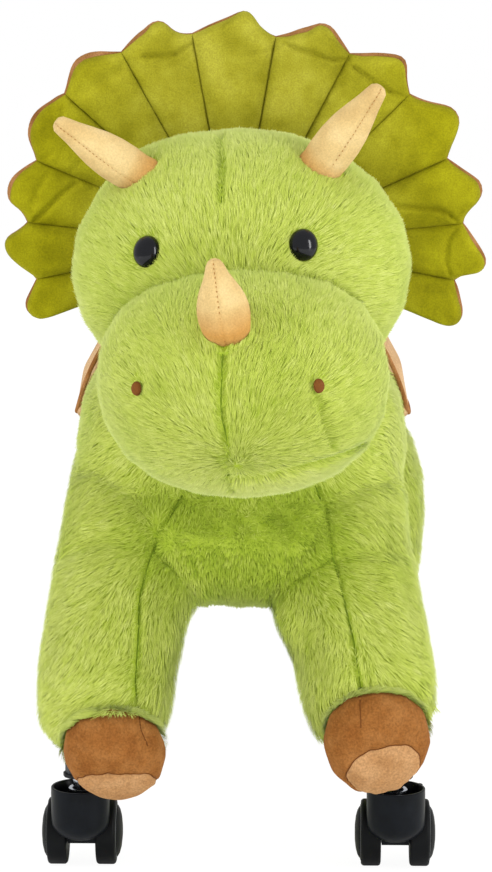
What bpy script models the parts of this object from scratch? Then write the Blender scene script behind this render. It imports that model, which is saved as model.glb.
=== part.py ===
"""Ride-on plush triceratops: a steel and plywood frame inside stuffed fabric, on four
twin-wheel swivel casters.

Metres, +Z up. The toy faces -Y and stands on the floor at z = 0, with the origin under its
middle. Run it with blender --background --python part.py, or from the text editor.
"""

import math

import bmesh
import bpy
from mathutils import Matrix, Vector

# Fits: the gap between neighbours, and the facets round each kind of round piece.
FIT_GAP = 0.0003
RUN_GAP = 0.0015
WHEEL_FACETS = 20
HOOD_FACETS = 16
SMALL_FACETS = 12
TUBE_BEVEL_STEPS = 2
TUBE_STEPS = 2
TUBE_FACETS = 4 + 2 * TUBE_BEVEL_STEPS
SHARP_ANGLE = math.radians(40)
WELD_DISTANCE = 0.00001

# Casters: where the stems stand, and the twin wheels behind each stem.
TRACK_HALF = 0.117
FRONT_STEM_Y = -0.155
REAR_STEM_Y = 0.155
CASTER_TRAIL = 0.020
WHEEL_RADIUS = 0.025
TYRE_WIDTH = 0.015
WHEEL_GAP = 0.021
TYRE_EDGE = 0.0018
CAP_RADIUS = 0.0208
CAP_HEIGHT = 0.0046
AXLE_RADIUS = 0.0030
AXLE_REACH = 0.0230
AXLE_BOSS_RADIUS = 0.0082

# Hood: an open cup round the stem, with a domed bottom between the wheels.
HOOD_RADIUS = 0.0216
HOOD_WALL = 0.0022
HOOD_RIM_Z = 0.0650
HOOD_FLOOR_Z = 0.0538
HOOD_DOME_TOP_Z = 0.0390
HOOD_BOTTOM_Z = 0.0240
HOOD_WEB_BOTTOM_Z = 0.0190
STEM_BOSS_RADIUS = 0.0080
STEM_BOSS_HEIGHT = 0.0046
HOOD_DOME_STEPS = 3
TAB_SIZE = (0.0060, 0.0034, 0.0080)
TAB_DROP = 0.0008
TAB_OVERLAP = 0.0004
TAB_ANGLE = math.radians(38)

# Stem: a pin in the hood, a collar on its boss and a shank in the leg tube's socket.
PIN_RADIUS = 0.0040
PIN_BOTTOM_Z = 0.0320
COLLAR_RADIUS = 0.0088
COLLAR_HEIGHT = 0.0056
SHANK_RADIUS = 0.0055
SHANK_IN_TUBE = 0.0340
SHANK_TAPER = 0.0012
SOCKET_FLANGE_RADIUS = 0.0125
SOCKET_FLANGE_HEIGHT = 0.0025
SOCKET_LENGTH = 0.0320
PORT_HEADROOM = 0.0010

# Frame: bent leg tubes under a spine tube, with the seat board bolted on top.
LEG_TUBE_RADIUS = 0.0110
SPINE_RADIUS = 0.0125
TUBE_WALL = 0.0015
LEG_TUBE_END_Z = 0.0760
SPINE_Z = 0.3150
SPINE_FRONT_Y = -0.090
SPINE_REAR_Y = 0.165
FRONT_CROSS_Y = -0.066
REAR_CROSS_Y = 0.140
FRONT_KNEE = (0.0960, -0.112, 0.212)
REAR_KNEE = (0.0980, 0.150, 0.225)
TUBE_STRAIGHT_RUN = 0.010
CROSS_BEND_SHARE = 0.52
BOARD_LENGTH = 0.170
BOARD_WIDTH = 0.120
BOARD_THICKNESS = 0.012
BOARD_Y = 0.085
BOARD_CORNER = 0.022
BOARD_CORNER_STEPS = 4
BOLT_RADIUS = 0.0030
BOLT_HEAD_RADIUS = 0.0065
BOLT_HEAD_HEIGHT = 0.0035
BOLT_SPACING = 0.064
BOLT_TAIL = 0.0060
NECK_POST_Y = -0.042
HANDLE_Z = 0.452
HANDLE_RADIUS = 0.0080
HANDLE_STANDS_OUT = 0.016
GRIP_RADIUS = 0.0135
GRIP_LENGTH = 0.050
GRIP_END = 0.0040
GRIP_RIB_HEIGHT = 0.0012
GRIP_RIBS = 3
GRIP_COLLAR_WIDTH = 0.0030
GRIP_COLLAR_HEIGHT = 0.0030

# Stuffed body. Each row is a section: place along the toy, half width, middle height,
# half height.
CAGE_SIDES = 10
LIMB_SIDES = 6
SOFT_LEVELS = 1
BODY_SECTIONS = (
    (-0.138, 0.060, 0.284, 0.066),
    (-0.114, 0.102, 0.292, 0.106),
    (-0.068, 0.129, 0.298, 0.125),
    (0.000, 0.129, 0.304, 0.119),
    (0.075, 0.124, 0.308, 0.112),
    (0.145, 0.117, 0.310, 0.104),
    (0.195, 0.092, 0.306, 0.080),
    (0.222, 0.048, 0.304, 0.044),
)
# Leg sections: x, y, z of the middle, half width, half depth.
FRONT_LEG_SECTIONS = (
    (0.074, -0.050, 0.292, 0.059, 0.050),
    (0.081, -0.094, 0.232, 0.059, 0.058),
    (0.093, -0.138, 0.176, 0.055, 0.057),
    (0.097, -0.170, 0.132, 0.053, 0.054),
    (0.095, -0.194, 0.110, 0.050, 0.046),
)
REAR_LEG_SECTIONS = (
    (0.070, 0.150, 0.300, 0.040, 0.050),
    (0.093, 0.152, 0.266, 0.053, 0.070),
    (0.103, 0.150, 0.214, 0.050, 0.074),
    (0.099, 0.140, 0.154, 0.041, 0.058),
    (0.098, 0.112, 0.116, 0.038, 0.042),
)
# Hoof sections: distance on from the leg's last section, half width, half depth.
HOOF_SECTIONS = (
    (-0.020, 0.0260, 0.0240),
    (0.006, 0.0450, 0.0420),
    (0.028, 0.0390, 0.0350),
    (0.038, 0.0200, 0.0180),
)
# How each leg sits, as on the toy in the photograph: shift out of its top and of its foot,
# rise of its foot, pitch of its hoof, and how far in the hoof sits.
LEG_STANCES = {
    "front_left": (0.0, 0.0, 0.0, math.radians(8), 0.0035),
    "front_right": (-0.013, 0.0050, 0.010, math.radians(14), -0.0005),
    "rear_left": (0.0, 0.0, 0.0, math.radians(8), 0.0),
    "rear_right": (0.0, 0.0, 0.0, math.radians(8), 0.0),
}
TAIL_SECTIONS = (
    (0.170, 0.056, 0.296, 0.052),
    (0.215, 0.052, 0.298, 0.048),
    (0.265, 0.038, 0.300, 0.036),
    (0.312, 0.023, 0.306, 0.022),
    (0.345, 0.012, 0.312, 0.012),
)

# Head: turned and tilted a little on the neck, as the toy sits in the photograph.
HEAD_CENTRE = (0.003, -0.155, 0.451)
HEAD_TURN = math.radians(-2.8)
HEAD_TILT = math.radians(-2.0)
HEAD_HALF_WIDTH = 0.127
HEAD_HALF_HEIGHT = 0.104
HEAD_FRONT = 0.108
HEAD_BACK = 0.142
HEAD_ANGLES = (-72, -48, -24, 0, 24, 48, 72)
MUZZLE_CENTRE = (0.005, -0.075, -0.069)
MUZZLE_HALF_WIDTH = 0.108
MUZZLE_HALF_HEIGHT = 0.087
MUZZLE_FRONT = 0.118
MUZZLE_BACK = 0.070
MUZZLE_ANGLES = (-55, -20, 10, 36, 58, 76)
MUZZLE_SQUARENESS = 2.3

# Eyes, nostrils and horns, on the turned head.
EYE_FACETS = 12
EYE_HALF_SPACING = 0.0545
EYE_MIDDLE_X = -0.0040
EYE_HEIGHT = 0.0235
EYE_RADIUS = 0.0118
EYE_DOME = 0.0082
EYE_DOME_STEPS = 4
EYE_SINK = 0.0022
EYE_SHANK_RADIUS = 0.0024
EYE_SHANK_LENGTH = 0.0140
WASHER_RADIUS = 0.0090
WASHER_THICKNESS = 0.0014
WASHER_DEPTH = 0.0080
NOSTRIL_HALF_SPACING = 0.0615
NOSTRIL_HEIGHT = 0.0075
NOSTRIL_MIDDLE_X = -0.0050
NOSTRIL_RADIUS = 0.0044
NOSTRIL_THICKNESS = 0.0024
NOSTRIL_STANDS_PROUD = 0.0010
NOSTRIL_EDGE = 0.0010
BROW_HORN_HALF_SPACING = 0.0620
BROW_HORN_HEIGHT = 0.0680
BROW_HORN_FORWARD = 0.034
BROW_HORN_LENGTH = 0.078
BROW_HORN_RADIUS = 0.0160
BROW_HORN_LEAN_LEFT = math.radians(54)
BROW_HORN_LEAN_RIGHT = math.radians(35)
BROW_HORN_LEAN_FORWARD = math.radians(14)
NOSE_HORN_HEIGHT = 0.0440
NOSE_HORN_MIDDLE_X = -0.0035
NOSE_HORN_FORWARD = 0.094
NOSE_HORN_LENGTH = 0.054
NOSE_HORN_RADIUS = 0.0195
NOSE_HORN_LEAN = math.radians(16)
NOSE_HORN_SIDE_LEAN = 0.12
HORN_SINK = 0.012
HORN_ROOT_SHARE = 0.92
# Shares of a horn's length and of its base radius, from its base to its tip.
HORN_TAPER = ((0.0, 1.0), (0.38, 0.80), (0.72, 0.50), (1.0, 0.36))

# Frill: thirteen padded lobes in a fan behind the head, on a brown back panel.
FRILL_CENTRE = (0.0015, -0.088, 0.458)
FRILL_INNER_RADIUS = 0.078
FRILL_NOTCH_RADIUS = 0.160
FRILL_TIP_RADIUS = 0.181
TOP_LOBE_ANGLE = math.radians(22.5)
SIDE_LOBES = 6
SIDE_LOBE_ANGLE = math.radians(19.4)
LOBE_NARROWING = math.radians(0.27)
FRILL_PUFF = 0.0125
FRILL_SEAM = 0.0035
FRILL_SEAM_TAPER = 0.4
FRILL_BACK_PUFF = 0.0060
FRILL_DISH = 0.012
FRILL_HEIGHT_SHARE = 0.965
LOBE_POINT = 1.4
LOBE_STEPS = 4
FRILL_RINGS = 2

# Saddle: a padded arch over the back, open underneath, raised at its two ends.
# Each row is a section: place along the toy, half width, half height.
SADDLE_SECTIONS = (
    (0.000, 0.122, 0.112),
    (0.007, 0.133, 0.126),
    (0.038, 0.134, 0.126),
    (0.078, 0.133, 0.120),
    (0.120, 0.131, 0.123),
    (0.148, 0.129, 0.124),
    (0.156, 0.119, 0.110),
)
SADDLE_MIDDLE_Z = 0.314
SADDLE_EDGE_Z = 0.313
SADDLE_CUT_MARGIN = 0.050

PARTS = "ride_on_dinosaur"
CUTTERS = "cutters"


def clear_scene():
    for thing in list(bpy.data.objects):
        bpy.data.objects.remove(thing, do_unlink=True)


def make_collection(name):
    collection = bpy.data.collections.new(name)
    bpy.context.scene.collection.children.link(collection)
    return collection


def place(thing, collection_name, parent=None):
    """Put an object in one collection, and under its parent without moving it."""
    for collection in list(thing.users_collection):
        collection.objects.unlink(thing)
    bpy.data.collections[collection_name].objects.link(thing)
    if parent is not None:
        thing.parent = parent
    return thing


def make_material(name, colour, roughness, metallic=0.0):
    material = bpy.data.materials.new(name)
    material.use_nodes = True
    shader = material.node_tree.nodes["Principled BSDF"]
    shader.inputs["Base Color"].default_value = (*colour, 1.0)
    shader.inputs["Roughness"].default_value = roughness
    shader.inputs["Metallic"].default_value = metallic
    return material


def as_part(thing, material, parent=None):
    """Finish an object as a node of the toy: collection, material and smooth shading."""
    place(thing, PARTS, parent)
    thing.data.materials.clear()
    thing.data.materials.append(material)
    thing.data.shade_smooth()
    thing.data.set_sharp_from_angle(angle=SHARP_ANGLE)
    return thing


def as_cutter(thing, parent=None):
    place(thing, CUTTERS, parent)
    thing.hide_render = True
    thing.display_type = "WIRE"
    return thing


def boolean(thing, other, operation="DIFFERENCE"):
    modifier = thing.modifiers.new(other.name, "BOOLEAN")
    modifier.operation = operation
    modifier.solver = "EXACT"
    modifier.object = other


def cut(thing, *cutters):
    for cutter in cutters:
        boolean(thing, cutter)


def round_bore(shaft_radius, facets):
    """Radius of a faceted bore whose flats clear a shaft of this radius."""
    return (shaft_radius + FIT_GAP) / math.cos(math.pi / facets)


def round_plug(bore_radius, facets):
    """Radius of a plug that clears the flats of a faceted bore."""
    return bore_radius * math.cos(math.pi / facets) - FIT_GAP


def evaluated_mesh(thing):
    bpy.context.view_layer.update()
    graph = bpy.context.evaluated_depsgraph_get()
    return bpy.data.meshes.new_from_object(thing.evaluated_get(graph))


def room_for(thing, gap=FIT_GAP):
    """Cutter of an object's present shape, pushed out along its normals by a gap."""
    mesh = evaluated_mesh(thing)
    normals = [vertex.normal.copy() for vertex in mesh.vertices]
    for vertex, normal in zip(mesh.vertices, normals):
        vertex.co += normal * gap
    room = bpy.data.objects.new(thing.name + "_room", mesh)
    as_cutter(room)
    room.matrix_world = thing.matrix_world
    return room


def turned(name, profile, facets, closed=False):
    """Solid of revolution about its own Z, from (radius, height) points that start on top."""
    mesh = bpy.data.meshes.new(name)
    points = [(radius, 0.0, height) for radius, height in profile]
    edges = [(index, index + 1) for index in range(len(points) - 1)]
    if closed:
        edges.append((len(points) - 1, 0))
    mesh.from_pydata(points, edges, [])
    thing = bpy.data.objects.new(name, mesh)
    bpy.context.scene.collection.objects.link(thing)
    screw = thing.modifiers.new("Turn", "SCREW")
    screw.steps = facets
    screw.render_steps = facets
    screw.use_merge_vertices = True
    screw.merge_threshold = WELD_DISTANCE
    weld = thing.modifiers.new("Close", "WELD")
    weld.merge_threshold = WELD_DISTANCE
    return thing


def cylinder(name, radius, low, high, facets):
    """Plain cylinder about its own Z between two heights."""
    profile = ((0.0, high), (radius, high), (radius, low), (0.0, low))
    return turned(name, profile, facets)


def box(name, low, high):
    """Box between two corners."""
    size = Vector(high) - Vector(low)
    middle = (Vector(high) + Vector(low)) / 2
    bpy.ops.mesh.primitive_cube_add(size=1.0)
    thing = bpy.context.active_object
    thing.name = name
    thing.data.name = name
    thing.data.transform(Matrix.Translation(middle) @ Matrix.Diagonal((*size, 1.0)))
    return thing


def straighten_ends(spline):
    """Keep a bent tube's first and last runs straight, and leave each one smoothly."""
    points = spline.bezier_points
    for end, knee, beyond in ((0, 1, 2), (-1, -2, -3)):
        points[end].handle_left_type = "VECTOR"
        points[end].handle_right_type = "VECTOR"
        run = (points[knee].co - points[end].co).normalized()
        reach = (points[beyond].co - points[knee].co).length / 3
        points[knee].handle_left_type = "FREE"
        points[knee].handle_right_type = "FREE"
        inward = points[knee].co + run * reach
        outward = points[knee].co - run * reach
        points[knee].handle_right = inward if end == 0 else outward
        points[knee].handle_left = outward if end == 0 else inward


def rod(name, points, radius, wall=0.0, smooth=True):
    """Round rod along a route, or a tube open at both ends where a wall is given."""
    curve = bpy.data.curves.new(name, "CURVE")
    curve.dimensions = "3D"
    curve.bevel_depth = radius
    curve.bevel_resolution = TUBE_BEVEL_STEPS
    curve.resolution_u = TUBE_STEPS
    curve.render_resolution_u = 0
    curve.use_fill_caps = wall == 0.0
    spline = curve.splines.new("BEZIER")
    spline.bezier_points.add(len(points) - 1)
    for place_on_route, point in zip(spline.bezier_points, points):
        place_on_route.co = point
        place_on_route.handle_left_type = "AUTO" if smooth else "VECTOR"
        place_on_route.handle_right_type = "AUTO" if smooth else "VECTOR"
    if smooth:
        straighten_ends(spline)
    route = bpy.data.objects.new(name + "_route", curve)
    bpy.context.scene.collection.objects.link(route)
    mesh = evaluated_mesh(route)
    mesh.name = name
    work = bmesh.new()
    work.from_mesh(mesh)
    bmesh.ops.remove_doubles(work, verts=work.verts, dist=WELD_DISTANCE)
    bmesh.ops.recalc_face_normals(work, faces=work.faces)
    work.to_mesh(mesh)
    work.free()
    bpy.data.objects.remove(route, do_unlink=True)
    thing = bpy.data.objects.new(name, mesh)
    bpy.context.scene.collection.objects.link(thing)
    if wall > 0.0:
        shell = thing.modifiers.new("Tube wall", "SOLIDIFY")
        shell.thickness = wall
        shell.offset = -1.0
    return thing


def stuffed(name, sections, sides, squareness=2.0):
    """Soft form: rings of a coarse cage along a route, smoothed by subdivision.

    Each section is (middle, half width, half depth). A ring stands square to the route,
    with its width along X.
    """
    cage = bmesh.new()
    swell = 8 / (6 + 2 * math.cos(math.tau / sides))
    rings = []
    for index, (middle, half_width, half_depth) in enumerate(sections):
        before = sections[max(index - 1, 0)][0]
        after = sections[min(index + 1, len(sections) - 1)][0]
        along = (Vector(after) - Vector(before)).normalized()
        side = (Vector((1.0, 0.0, 0.0)) - along * along.x).normalized()
        up = side.cross(along)
        ring = []
        for step in range(sides):
            angle = math.tau * (step + 0.5) / sides
            across = math.copysign(abs(math.cos(angle)) ** (2 / squareness), math.cos(angle))
            rise = math.copysign(abs(math.sin(angle)) ** (2 / squareness), math.sin(angle))
            offset = side * (across * half_width) + up * (rise * half_depth)
            ring.append(cage.verts.new(Vector(middle) + offset * swell))
        rings.append(ring)
    for ring, following in zip(rings, rings[1:]):
        for step in range(sides):
            beside = (step + 1) % sides
            cage.faces.new((ring[step], ring[beside], following[beside], following[step]))
    cage.faces.new(rings[0])
    cage.faces.new(rings[-1])
    bmesh.ops.recalc_face_normals(cage, faces=cage.faces)
    mesh = bpy.data.meshes.new(name)
    cage.to_mesh(mesh)
    cage.free()
    thing = bpy.data.objects.new(name, mesh)
    bpy.context.scene.collection.objects.link(thing)
    soft = thing.modifiers.new("Soft form", "SUBSURF")
    soft.levels = SOFT_LEVELS
    soft.render_levels = SOFT_LEVELS
    split = thing.modifiers.new("Same facets as its room", "TRIANGULATE")
    split.quad_method = "FIXED"
    return thing


def along_body(rows):
    """Sections of a form that runs along the toy: (y, half width, z, half height)."""
    return [((0.0, y, z), half_width, half_height) for y, half_width, z, half_height in rows]


def domed(centre, half_width, half_height, back, front, angles):
    """Sections of a rounded form along -Y, from its back to its front."""
    sections = []
    for degrees in angles:
        angle = math.radians(degrees)
        reach = front if angle > 0 else back
        middle = Vector(centre) + Vector((0.0, -math.sin(angle) * reach, 0.0))
        ring = math.cos(angle)
        sections.append((middle, ring * half_width, ring * half_height))
    return sections


def surface_point(form, start, direction):
    """Point and normal where a line from start meets a form, in the form's own space."""
    graph = bpy.context.evaluated_depsgraph_get()
    shape = form.evaluated_get(graph)
    far = Vector(start) + Vector(direction).normalized() * 0.5
    hit, point, normal, _ = shape.ray_cast(far, -Vector(direction).normalized())
    if not hit:
        raise ValueError("no surface there on " + form.name)
    return point, normal


def facing(point, normal):
    """Matrix that puts an object's Z along a surface normal at a point."""
    return Matrix.Translation(point) @ normal.to_track_quat("Z", "Y").to_matrix().to_4x4()


# Caster


def build_hood(name, swivel, black):
    """Cup with a domed bottom, a web between the wheels and a boss for the axle."""
    pin_bore = round_bore(PIN_RADIUS, SMALL_FACETS)
    inner = HOOD_RADIUS - HOOD_WALL
    boss_top = HOOD_FLOOR_Z + STEM_BOSS_HEIGHT
    profile = [
        (0.0, PIN_BOTTOM_Z - FIT_GAP),
        (pin_bore, PIN_BOTTOM_Z - FIT_GAP),
        (pin_bore, boss_top),
        (STEM_BOSS_RADIUS, boss_top),
        (STEM_BOSS_RADIUS, HOOD_FLOOR_Z),
        (inner, HOOD_FLOOR_Z),
        (inner, HOOD_RIM_Z),
        (HOOD_RADIUS, HOOD_RIM_Z),
    ]
    for step in range(HOOD_DOME_STEPS + 1):
        angle = math.pi / 2 * step / HOOD_DOME_STEPS
        drop = (HOOD_DOME_TOP_Z - HOOD_BOTTOM_Z) * math.sin(angle)
        profile.append((HOOD_RADIUS * math.cos(angle), HOOD_DOME_TOP_Z - drop))
    hood = turned(name, profile, HOOD_FACETS)
    as_part(hood, black, swivel)

    web_half = WHEEL_GAP / 2 - FIT_GAP
    boss_half = web_half + TYRE_EDGE
    boss = cylinder(name + "_axle_boss", AXLE_BOSS_RADIUS, -boss_half, boss_half, SMALL_FACETS)
    boss.location = (0.0, CASTER_TRAIL, WHEEL_RADIUS)
    boss.rotation_euler = (0.0, math.pi / 2, 0.0)
    web = box(
        name + "_web",
        (-boss_half, PIN_RADIUS + HOOD_WALL, HOOD_WEB_BOTTOM_Z),
        (boss_half, CASTER_TRAIL + TYRE_EDGE, HOOD_FLOOR_Z - 2 * HOOD_WALL),
    )
    tab_length, tab_width, tab_height = TAB_SIZE
    tab = box(
        name + "_tab",
        (-tab_length / 2, -tab_width / 2, HOOD_RIM_Z - tab_height),
        (tab_length / 2, tab_width / 2, HOOD_RIM_Z - TAB_DROP),
    )
    tab_reach = HOOD_RADIUS - TAB_OVERLAP
    tab.location = (tab_reach * math.cos(TAB_ANGLE), tab_reach * math.sin(TAB_ANGLE), 0.0)
    tab.rotation_euler = (0.0, 0.0, TAB_ANGLE)
    for extra in (boss, web, tab):
        as_cutter(extra, swivel)
        boolean(hood, extra, "UNION")

    room_radius = WHEEL_RADIUS + RUN_GAP
    for side in (-1, 1):
        inner_face = side * web_half
        outer_face = side * (WHEEL_GAP / 2 + 2 * TYRE_WIDTH)
        room = cylinder(
            name + ("_wheel_room_left" if side < 0 else "_wheel_room_right"),
            room_radius,
            min(inner_face, outer_face),
            max(inner_face, outer_face),
            WHEEL_FACETS,
        )
        room.location = (0.0, CASTER_TRAIL, WHEEL_RADIUS)
        room.rotation_euler = (0.0, math.pi / 2, 0.0)
        cut(hood, as_cutter(room, swivel))
    bore = cylinder(
        name + "_axle_bore",
        round_bore(AXLE_RADIUS, SMALL_FACETS),
        -WHEEL_GAP,
        WHEEL_GAP,
        SMALL_FACETS,
    )
    bore.location = (0.0, CASTER_TRAIL, WHEEL_RADIUS)
    bore.rotation_euler = (0.0, math.pi / 2, 0.0)
    cut(hood, as_cutter(bore, swivel))


def build_wheel(name, swivel, side, black):
    """One wheel of the pair, domed outside. Its own Z points out along the axle."""
    bore = round_bore(AXLE_RADIUS, WHEEL_FACETS)
    bore_end = AXLE_REACH - WHEEL_GAP / 2 + FIT_GAP
    top = TYRE_WIDTH + CAP_HEIGHT
    profile = (
        (0.0, top),
        (CAP_RADIUS * 0.70, top - CAP_HEIGHT * 0.30),
        (CAP_RADIUS, TYRE_WIDTH),
        (WHEEL_RADIUS - TYRE_EDGE, TYRE_WIDTH),
        (WHEEL_RADIUS, TYRE_WIDTH - TYRE_EDGE),
        (WHEEL_RADIUS, TYRE_EDGE),
        (WHEEL_RADIUS - TYRE_EDGE, FIT_GAP),
        (bore, FIT_GAP),
        (bore, bore_end),
        (0.0, bore_end),
    )
    wheel = turned(name, profile, WHEEL_FACETS)
    wheel.location = (side * WHEEL_GAP / 2, CASTER_TRAIL, WHEEL_RADIUS)
    wheel.rotation_euler = (0.0, side * math.pi / 2, 0.0)
    as_part(wheel, black, swivel)


def build_caster(label, x, y, finishes):
    swivel = bpy.data.objects.new("caster_" + label + "_swivel", None)
    place(swivel, PARTS)
    swivel.location = (x, y, 0.0)
    build_hood("caster_" + label + "_hood", swivel, finishes["hood"])
    axle_name = "caster_" + label + "_axle"
    axle = cylinder(axle_name, AXLE_RADIUS, -AXLE_REACH, AXLE_REACH, SMALL_FACETS)
    axle.location = (0.0, CASTER_TRAIL, WHEEL_RADIUS)
    axle.rotation_euler = (0.0, math.pi / 2, 0.0)
    as_part(axle, finishes["steel"], swivel)
    for side, word in ((-1, "left"), (1, "right")):
        name = "caster_" + label + "_" + word + "_wheel"
        build_wheel(name, swivel, side, finishes["tyre"])


def repeat(places, master, material):
    """Objects that share the master's finished mesh, from a name and a matrix for each."""
    mesh = evaluated_mesh(master)
    bpy.data.objects.remove(master, do_unlink=True)
    copies = []
    for name, matrix in places:
        copy = bpy.data.objects.new(name, mesh)
        as_part(copy, material)
        copy.matrix_world = matrix
        copies.append(copy)
    return copies


def build_stems_and_sockets(stem_places, finishes):
    """Stems of the casters, and the flanged plastic sockets in the leg tubes' ends."""
    collar_bottom = HOOD_FLOOR_Z + STEM_BOSS_HEIGHT + FIT_GAP
    collar_top = collar_bottom + COLLAR_HEIGHT
    shank_top = LEG_TUBE_END_Z + SHANK_IN_TUBE
    stem = turned(
        "stem",
        (
            (0.0, shank_top),
            (SHANK_RADIUS - SHANK_TAPER, shank_top),
            (SHANK_RADIUS, shank_top - SHANK_TAPER),
            (SHANK_RADIUS, collar_top),
            (COLLAR_RADIUS, collar_top),
            (COLLAR_RADIUS, collar_bottom),
            (PIN_RADIUS, collar_bottom),
            (PIN_RADIUS, PIN_BOTTOM_Z),
            (0.0, PIN_BOTTOM_Z),
        ),
        SMALL_FACETS,
    )
    stems = [("stem_" + label, matrix) for label, matrix in stem_places]
    repeat(stems, stem, finishes["chrome"])

    bore = round_bore(SHANK_RADIUS, SMALL_FACETS)
    sleeve = round_plug(LEG_TUBE_RADIUS - TUBE_WALL, TUBE_FACETS)
    flange_top = LEG_TUBE_END_Z - FIT_GAP
    socket = turned(
        "socket",
        (
            (bore, LEG_TUBE_END_Z + SOCKET_LENGTH),
            (sleeve, LEG_TUBE_END_Z + SOCKET_LENGTH),
            (sleeve, flange_top),
            (SOCKET_FLANGE_RADIUS, flange_top),
            (SOCKET_FLANGE_RADIUS, flange_top - SOCKET_FLANGE_HEIGHT),
            (bore, flange_top - SOCKET_FLANGE_HEIGHT),
        ),
        SMALL_FACETS,
        closed=True,
    )
    sockets = [("socket_" + label, matrix) for label, matrix in stem_places]
    repeat(sockets, socket, finishes["plastic"])


# Frame


def leg_route(stem_y, cross_y, knee):
    """Route of one bent leg tube, from the left caster over to the right one."""
    cross_z = SPINE_Z - SPINE_RADIUS - LEG_TUBE_RADIUS - FIT_GAP
    knee_x, knee_y, knee_z = knee
    right = [
        (TRACK_HALF, stem_y, LEG_TUBE_END_Z),
        (TRACK_HALF, stem_y, LEG_TUBE_END_Z + SOCKET_LENGTH + TUBE_STRAIGHT_RUN),
        (knee_x, knee_y, knee_z),
        (knee_x * CROSS_BEND_SHARE, cross_y, cross_z),
    ]
    left = [(-x, y, z) for x, y, z in right]
    return left + [(0.0, cross_y, cross_z)] + right[::-1]


def build_frame(finishes):
    """Tubes, seat board, bolts and handlebar. Returns the room that each one needs."""
    rooms = {}
    legs = (
        ("front_leg_frame", FRONT_STEM_Y, FRONT_CROSS_Y, FRONT_KNEE),
        ("rear_leg_frame", REAR_STEM_Y, REAR_CROSS_Y, REAR_KNEE),
    )
    for name, stem_y, cross_y, knee in legs:
        route = leg_route(stem_y, cross_y, knee)
        as_part(rod(name, route, LEG_TUBE_RADIUS, TUBE_WALL), finishes["frame"])
        room = rod(name + "_room", route, round_bore(LEG_TUBE_RADIUS, TUBE_FACETS))
        rooms[name] = as_cutter(room)

    spine_ends = ((0.0, SPINE_FRONT_Y, SPINE_Z), (0.0, SPINE_REAR_Y, SPINE_Z))
    spine = rod("spine_tube", spine_ends, SPINE_RADIUS, TUBE_WALL, smooth=False)
    as_part(spine, finishes["frame"])
    room_ends = (
        (0.0, SPINE_FRONT_Y - FIT_GAP, SPINE_Z),
        (0.0, SPINE_REAR_Y + FIT_GAP, SPINE_Z),
    )
    spine_room = rod("spine_room", room_ends, SPINE_RADIUS + 2 * FIT_GAP, smooth=False)
    rooms["spine_tube"] = as_cutter(spine_room)

    board_low = SPINE_Z + SPINE_RADIUS + FIT_GAP
    board_top = board_low + BOARD_THICKNESS
    board = box(
        "seat_board",
        (-BOARD_WIDTH / 2, BOARD_Y - BOARD_LENGTH / 2, board_low),
        (BOARD_WIDTH / 2, BOARD_Y + BOARD_LENGTH / 2, board_top),
    )
    round_upright_edges(board, BOARD_CORNER)
    as_part(board, finishes["wood"])
    rooms["seat_board"] = room_for(board, 2 * FIT_GAP)

    head_bottom = board_top + FIT_GAP
    bolt_end = SPINE_Z - SPINE_RADIUS - BOLT_TAIL
    bolt = turned(
        "bolt",
        (
            (0.0, head_bottom + BOLT_HEAD_HEIGHT),
            (BOLT_HEAD_RADIUS * 0.6, head_bottom + BOLT_HEAD_HEIGHT * 0.8),
            (BOLT_HEAD_RADIUS, head_bottom),
            (BOLT_RADIUS, head_bottom),
            (BOLT_RADIUS, bolt_end),
            (0.0, bolt_end),
        ),
        SMALL_FACETS,
    )
    bolt_places = [
        ("seat_bolt_front", Matrix.Translation((0.0, BOARD_Y - BOLT_SPACING / 2, 0.0))),
        ("seat_bolt_rear", Matrix.Translation((0.0, BOARD_Y + BOLT_SPACING / 2, 0.0))),
    ]
    for screw in repeat(bolt_places, bolt, finishes["steel"]):
        rooms[screw.name] = room_for(screw, 2 * FIT_GAP)
        cut(board, rooms[screw.name])
        cut(spine, rooms[screw.name])

    post_ends = (
        (0.0, NECK_POST_Y, SPINE_Z + SPINE_RADIUS + FIT_GAP),
        (0.0, NECK_POST_Y, HANDLE_Z - HANDLE_RADIUS - FIT_GAP),
    )
    post = rod("neck_post", post_ends, LEG_TUBE_RADIUS, TUBE_WALL, smooth=False)
    as_part(post, finishes["frame"])
    room_ends = (
        (0.0, NECK_POST_Y, SPINE_Z),
        (0.0, NECK_POST_Y, HANDLE_Z - HANDLE_RADIUS / 3),
    )
    post_room = rod("neck_post_room", room_ends, LEG_TUBE_RADIUS + 2 * FIT_GAP, smooth=False)
    rooms["neck_post"] = as_cutter(post_room)

    half = HEAD_HALF_WIDTH + HANDLE_STANDS_OUT
    bar_ends = ((-half, NECK_POST_Y, HANDLE_Z), (half, NECK_POST_Y, HANDLE_Z))
    bar = rod("handlebar", bar_ends, HANDLE_RADIUS, TUBE_WALL, smooth=False)
    as_part(bar, finishes["frame"])
    bar_room = rod("handlebar_room", bar_ends, HANDLE_RADIUS + 2 * FIT_GAP, smooth=False)
    rooms["handlebar"] = as_cutter(bar_room)
    for side, word in ((-1, "left"), (1, "right")):
        build_grip("handle_grip_" + word, side, side * half, finishes["rubber"])
    return rooms


def round_upright_edges(thing, radius):
    """Round the four upright corners of a box into arcs."""
    work = bmesh.new()
    work.from_mesh(thing.data)
    upright = [
        edge
        for edge in work.edges
        if abs(edge.verts[0].co.z - edge.verts[1].co.z) > BOARD_THICKNESS / 2
    ]
    bmesh.ops.bevel(
        work, geom=upright, offset=radius, segments=BOARD_CORNER_STEPS, affect="EDGES", profile=0.5
    )
    work.to_mesh(thing.data)
    work.free()


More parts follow.
